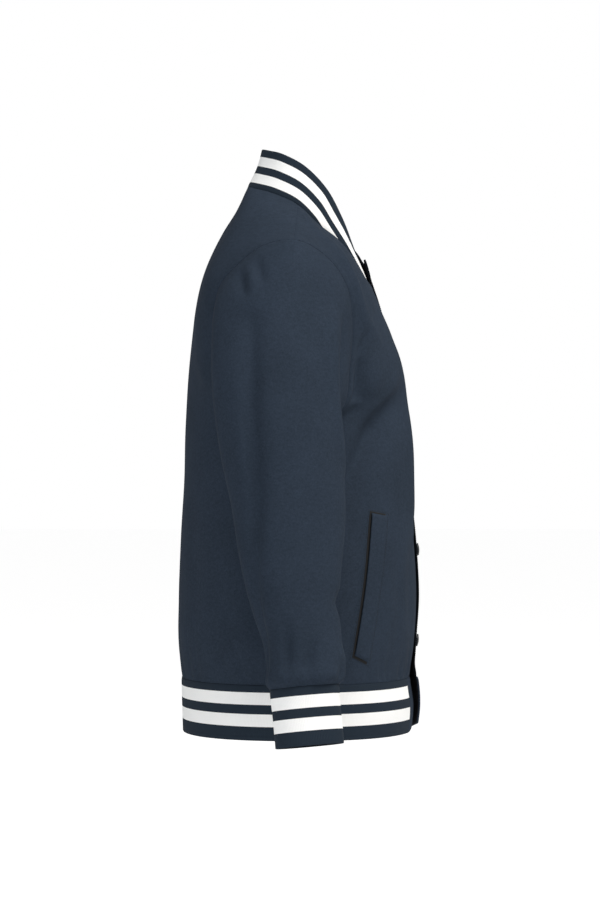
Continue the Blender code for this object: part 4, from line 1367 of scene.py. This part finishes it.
CAP_HEIGHT = 3.0
CAP_ACROSS = 0.055  # share across the front at which the caps sit
for number in range(1, 5):
    low, high = (np.array(corner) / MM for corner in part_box(f"snap_{number}"))
    middle = (low + high) / 2
    up = FRONT_NECK_UP * (middle[2] - HEM_SEAM_Z) / (NECK_POINTS[-1][2] - HEM_SEAM_Z)
    axis = outward("front", np.array([CAP_ACROSS]), np.array([up]))[0] * np.array([0, 1, 1])
    mesh = cap_mesh(f"snap_cap_{number}", middle - CAP_HEIGHT / 2 * axis, axis)
    made_of(mesh, [ENAMEL], f"snap_{number}")
    print(f"cap {number} at", middle.round(1).tolist())

# %% [markdown]
# ## What each sheet was cut to
#
# Cloth doesn't stretch much when it is sewn, so each finished sheet has about the area of its
# flat cut. The cuts below are given as the width and length of the rectangle that holds them,
# with the area inside the cutting line.

print("areas:", *(round(a, 4) for a in (FRONT_AREA, BACK_AREA, SLEEVE_AREA, CUFF_AREA)))
SEWN_TO = (  # {} stands for left and for right
    ("front_{}_cloth", (0.275, 0.575), FRONT_AREA, ("hem_end_{}_cloth", "back_cloth")),
    ("back_cloth", (0.50, 0.63), BACK_AREA, ("hem_band_rib",)),
    ("sleeve_{}_cloth", (0.44, 0.56), SLEEVE_AREA, ("front_{}_cloth",)),
    ("cuff_{}_rib", (0.215, 0.066), CUFF_AREA, ("sleeve_{}_cloth",)),
    ("hem_band_rib", (0.86, 0.066), HEM_AREA, ("back_cloth",)),
    ("hem_end_{}_cloth", (0.07, 0.066), BLOCK_AREA, ("hem_band_rib",)),
    ("collar_rib", (0.48, 0.055), COLLAR_AREA, ("back_cloth",)),
    ("pocket_welt_{}_cloth", (0.028, 0.15), WELT_AREA, ("front_{}_cloth",)),
)
for pattern, flat, area, near in SEWN_TO:
    area = min(float(area), flat[0] * flat[1])
    for side in ("left", "right") if "{}" in pattern else ("",):
        name, neighbours = pattern.format(side), [piece.format(side) for piece in near]
        print(f"{name}: {flat[0]} x {flat[1]} m, {area / (flat[0] * flat[1]):.2f} of it")

# %% [markdown]
# ## Camera, light and floor
#
# The camera looks level at the wearer's right side from 4.5 m through a long lens, which keeps
# the shape free of perspective. The light is a white room and four large soft boxes. A plain
# white floor lies well below the jacket.

# %% Set the stage
scene = bpy.context.scene
scene.view_settings.view_transform = "Standard"
CAMERA_AT = Vector((-4.5, 0.0, -0.27))
AIM = Vector((0.0, 0.0, -0.27))
ROOM_LIGHT = 0.45  # the white room lights the cloth this much, and itself shows as full white
FLOOR_REACH = 30
FLOOR_Z = -1.0
SQUARE = (-1, -1), (1, -1), (1, 1), (-1, 1)
lens = bpy.data.cameras.new("side_camera")
lens.lens = 150
lens.sensor_width = 36


def facing_jacket(thing, place):
    """Puts a camera or a lamp at its place and turns it towards the jacket."""
    thing.location = place
    thing.rotation_euler = (AIM - Vector(place)).to_track_quat("-Z", "Y").to_euler()
    return thing


scene.camera = facing_jacket(placed("side_camera", lens), CAMERA_AT)

world = bpy.data.worlds.new("white_room")
world.use_nodes = True
wall_light = world.node_tree.nodes["Background"]
wall_light.inputs["Color"].default_value = linear("#FFFFFF")
seen = add_node(world.node_tree, "ShaderNodeLightPath").outputs["Is Camera Ray"]
strength = sums(world.node_tree, "MULTIPLY_ADD", seen, 1.0 - ROOM_LIGHT, ROOM_LIGHT)
world.node_tree.links.new(strength, wall_light.inputs["Strength"])
scene.world = world

for name, place, size, power, tint in (
    ("key_box", (-1.5, -1.5, 3.1), 1.5, 158.0, "#FFF9F3"),
    ("camera_box", (-4.0, 1.2, 0.5), 1.6, 24.0, "#F4F8FF"),
    ("front_box", (1.6, -3.4, 0.8), 2.0, 13.0, "#FFFFFF"),
    ("back_box", (-1.0, 3.6, 0.5), 2.0, 16.0, "#FFFFFF"),
):
    lamp = bpy.data.lights.new(name, "AREA")
    lamp.size = size
    lamp.energy = power
    lamp.color = linear(tint)[:3]
    facing_jacket(placed(name, lamp), place)

floor_mesh = bpy.data.meshes.new("floor")
corners = [(x * FLOOR_REACH, y * FLOOR_REACH, FLOOR_Z) for x, y in SQUARE]
floor_mesh.from_pydata(corners, [], [(0, 1, 2, 3)])
white_floor, floor_tree, floor_shader = new_stuff(
    "matt_white_floor",
    Base_Color=linear("#FBFBFB"),
    Roughness=0.9,
    Emission_Color=linear("#FFFFFF"),
)
floor_seen = add_node(floor_tree, "ShaderNodeLightPath").outputs["Is Camera Ray"]
floor_glow = sums(floor_tree, "MULTIPLY", floor_seen, 1.0 - ROOM_LIGHT)
floor_tree.links.new(floor_glow, floor_shader.inputs["Emission Strength"])
floor_mesh.materials.append(white_floor)
placed("floor", floor_mesh)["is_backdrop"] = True
print("camera", round((CAMERA_AT - AIM).length, 2), "m away")

# %% Measure the triangles
triangles = {}
graph = bpy.context.evaluated_depsgraph_get()
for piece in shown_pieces():
    shown = piece.evaluated_get(graph).to_mesh()
    shown.calc_loop_triangles()
    triangles[piece.name] = len(shown.loop_triangles)
print("triangles:", sum(triangles.values()), sorted(triangles.items(), key=lambda t: -t[1])[:8])
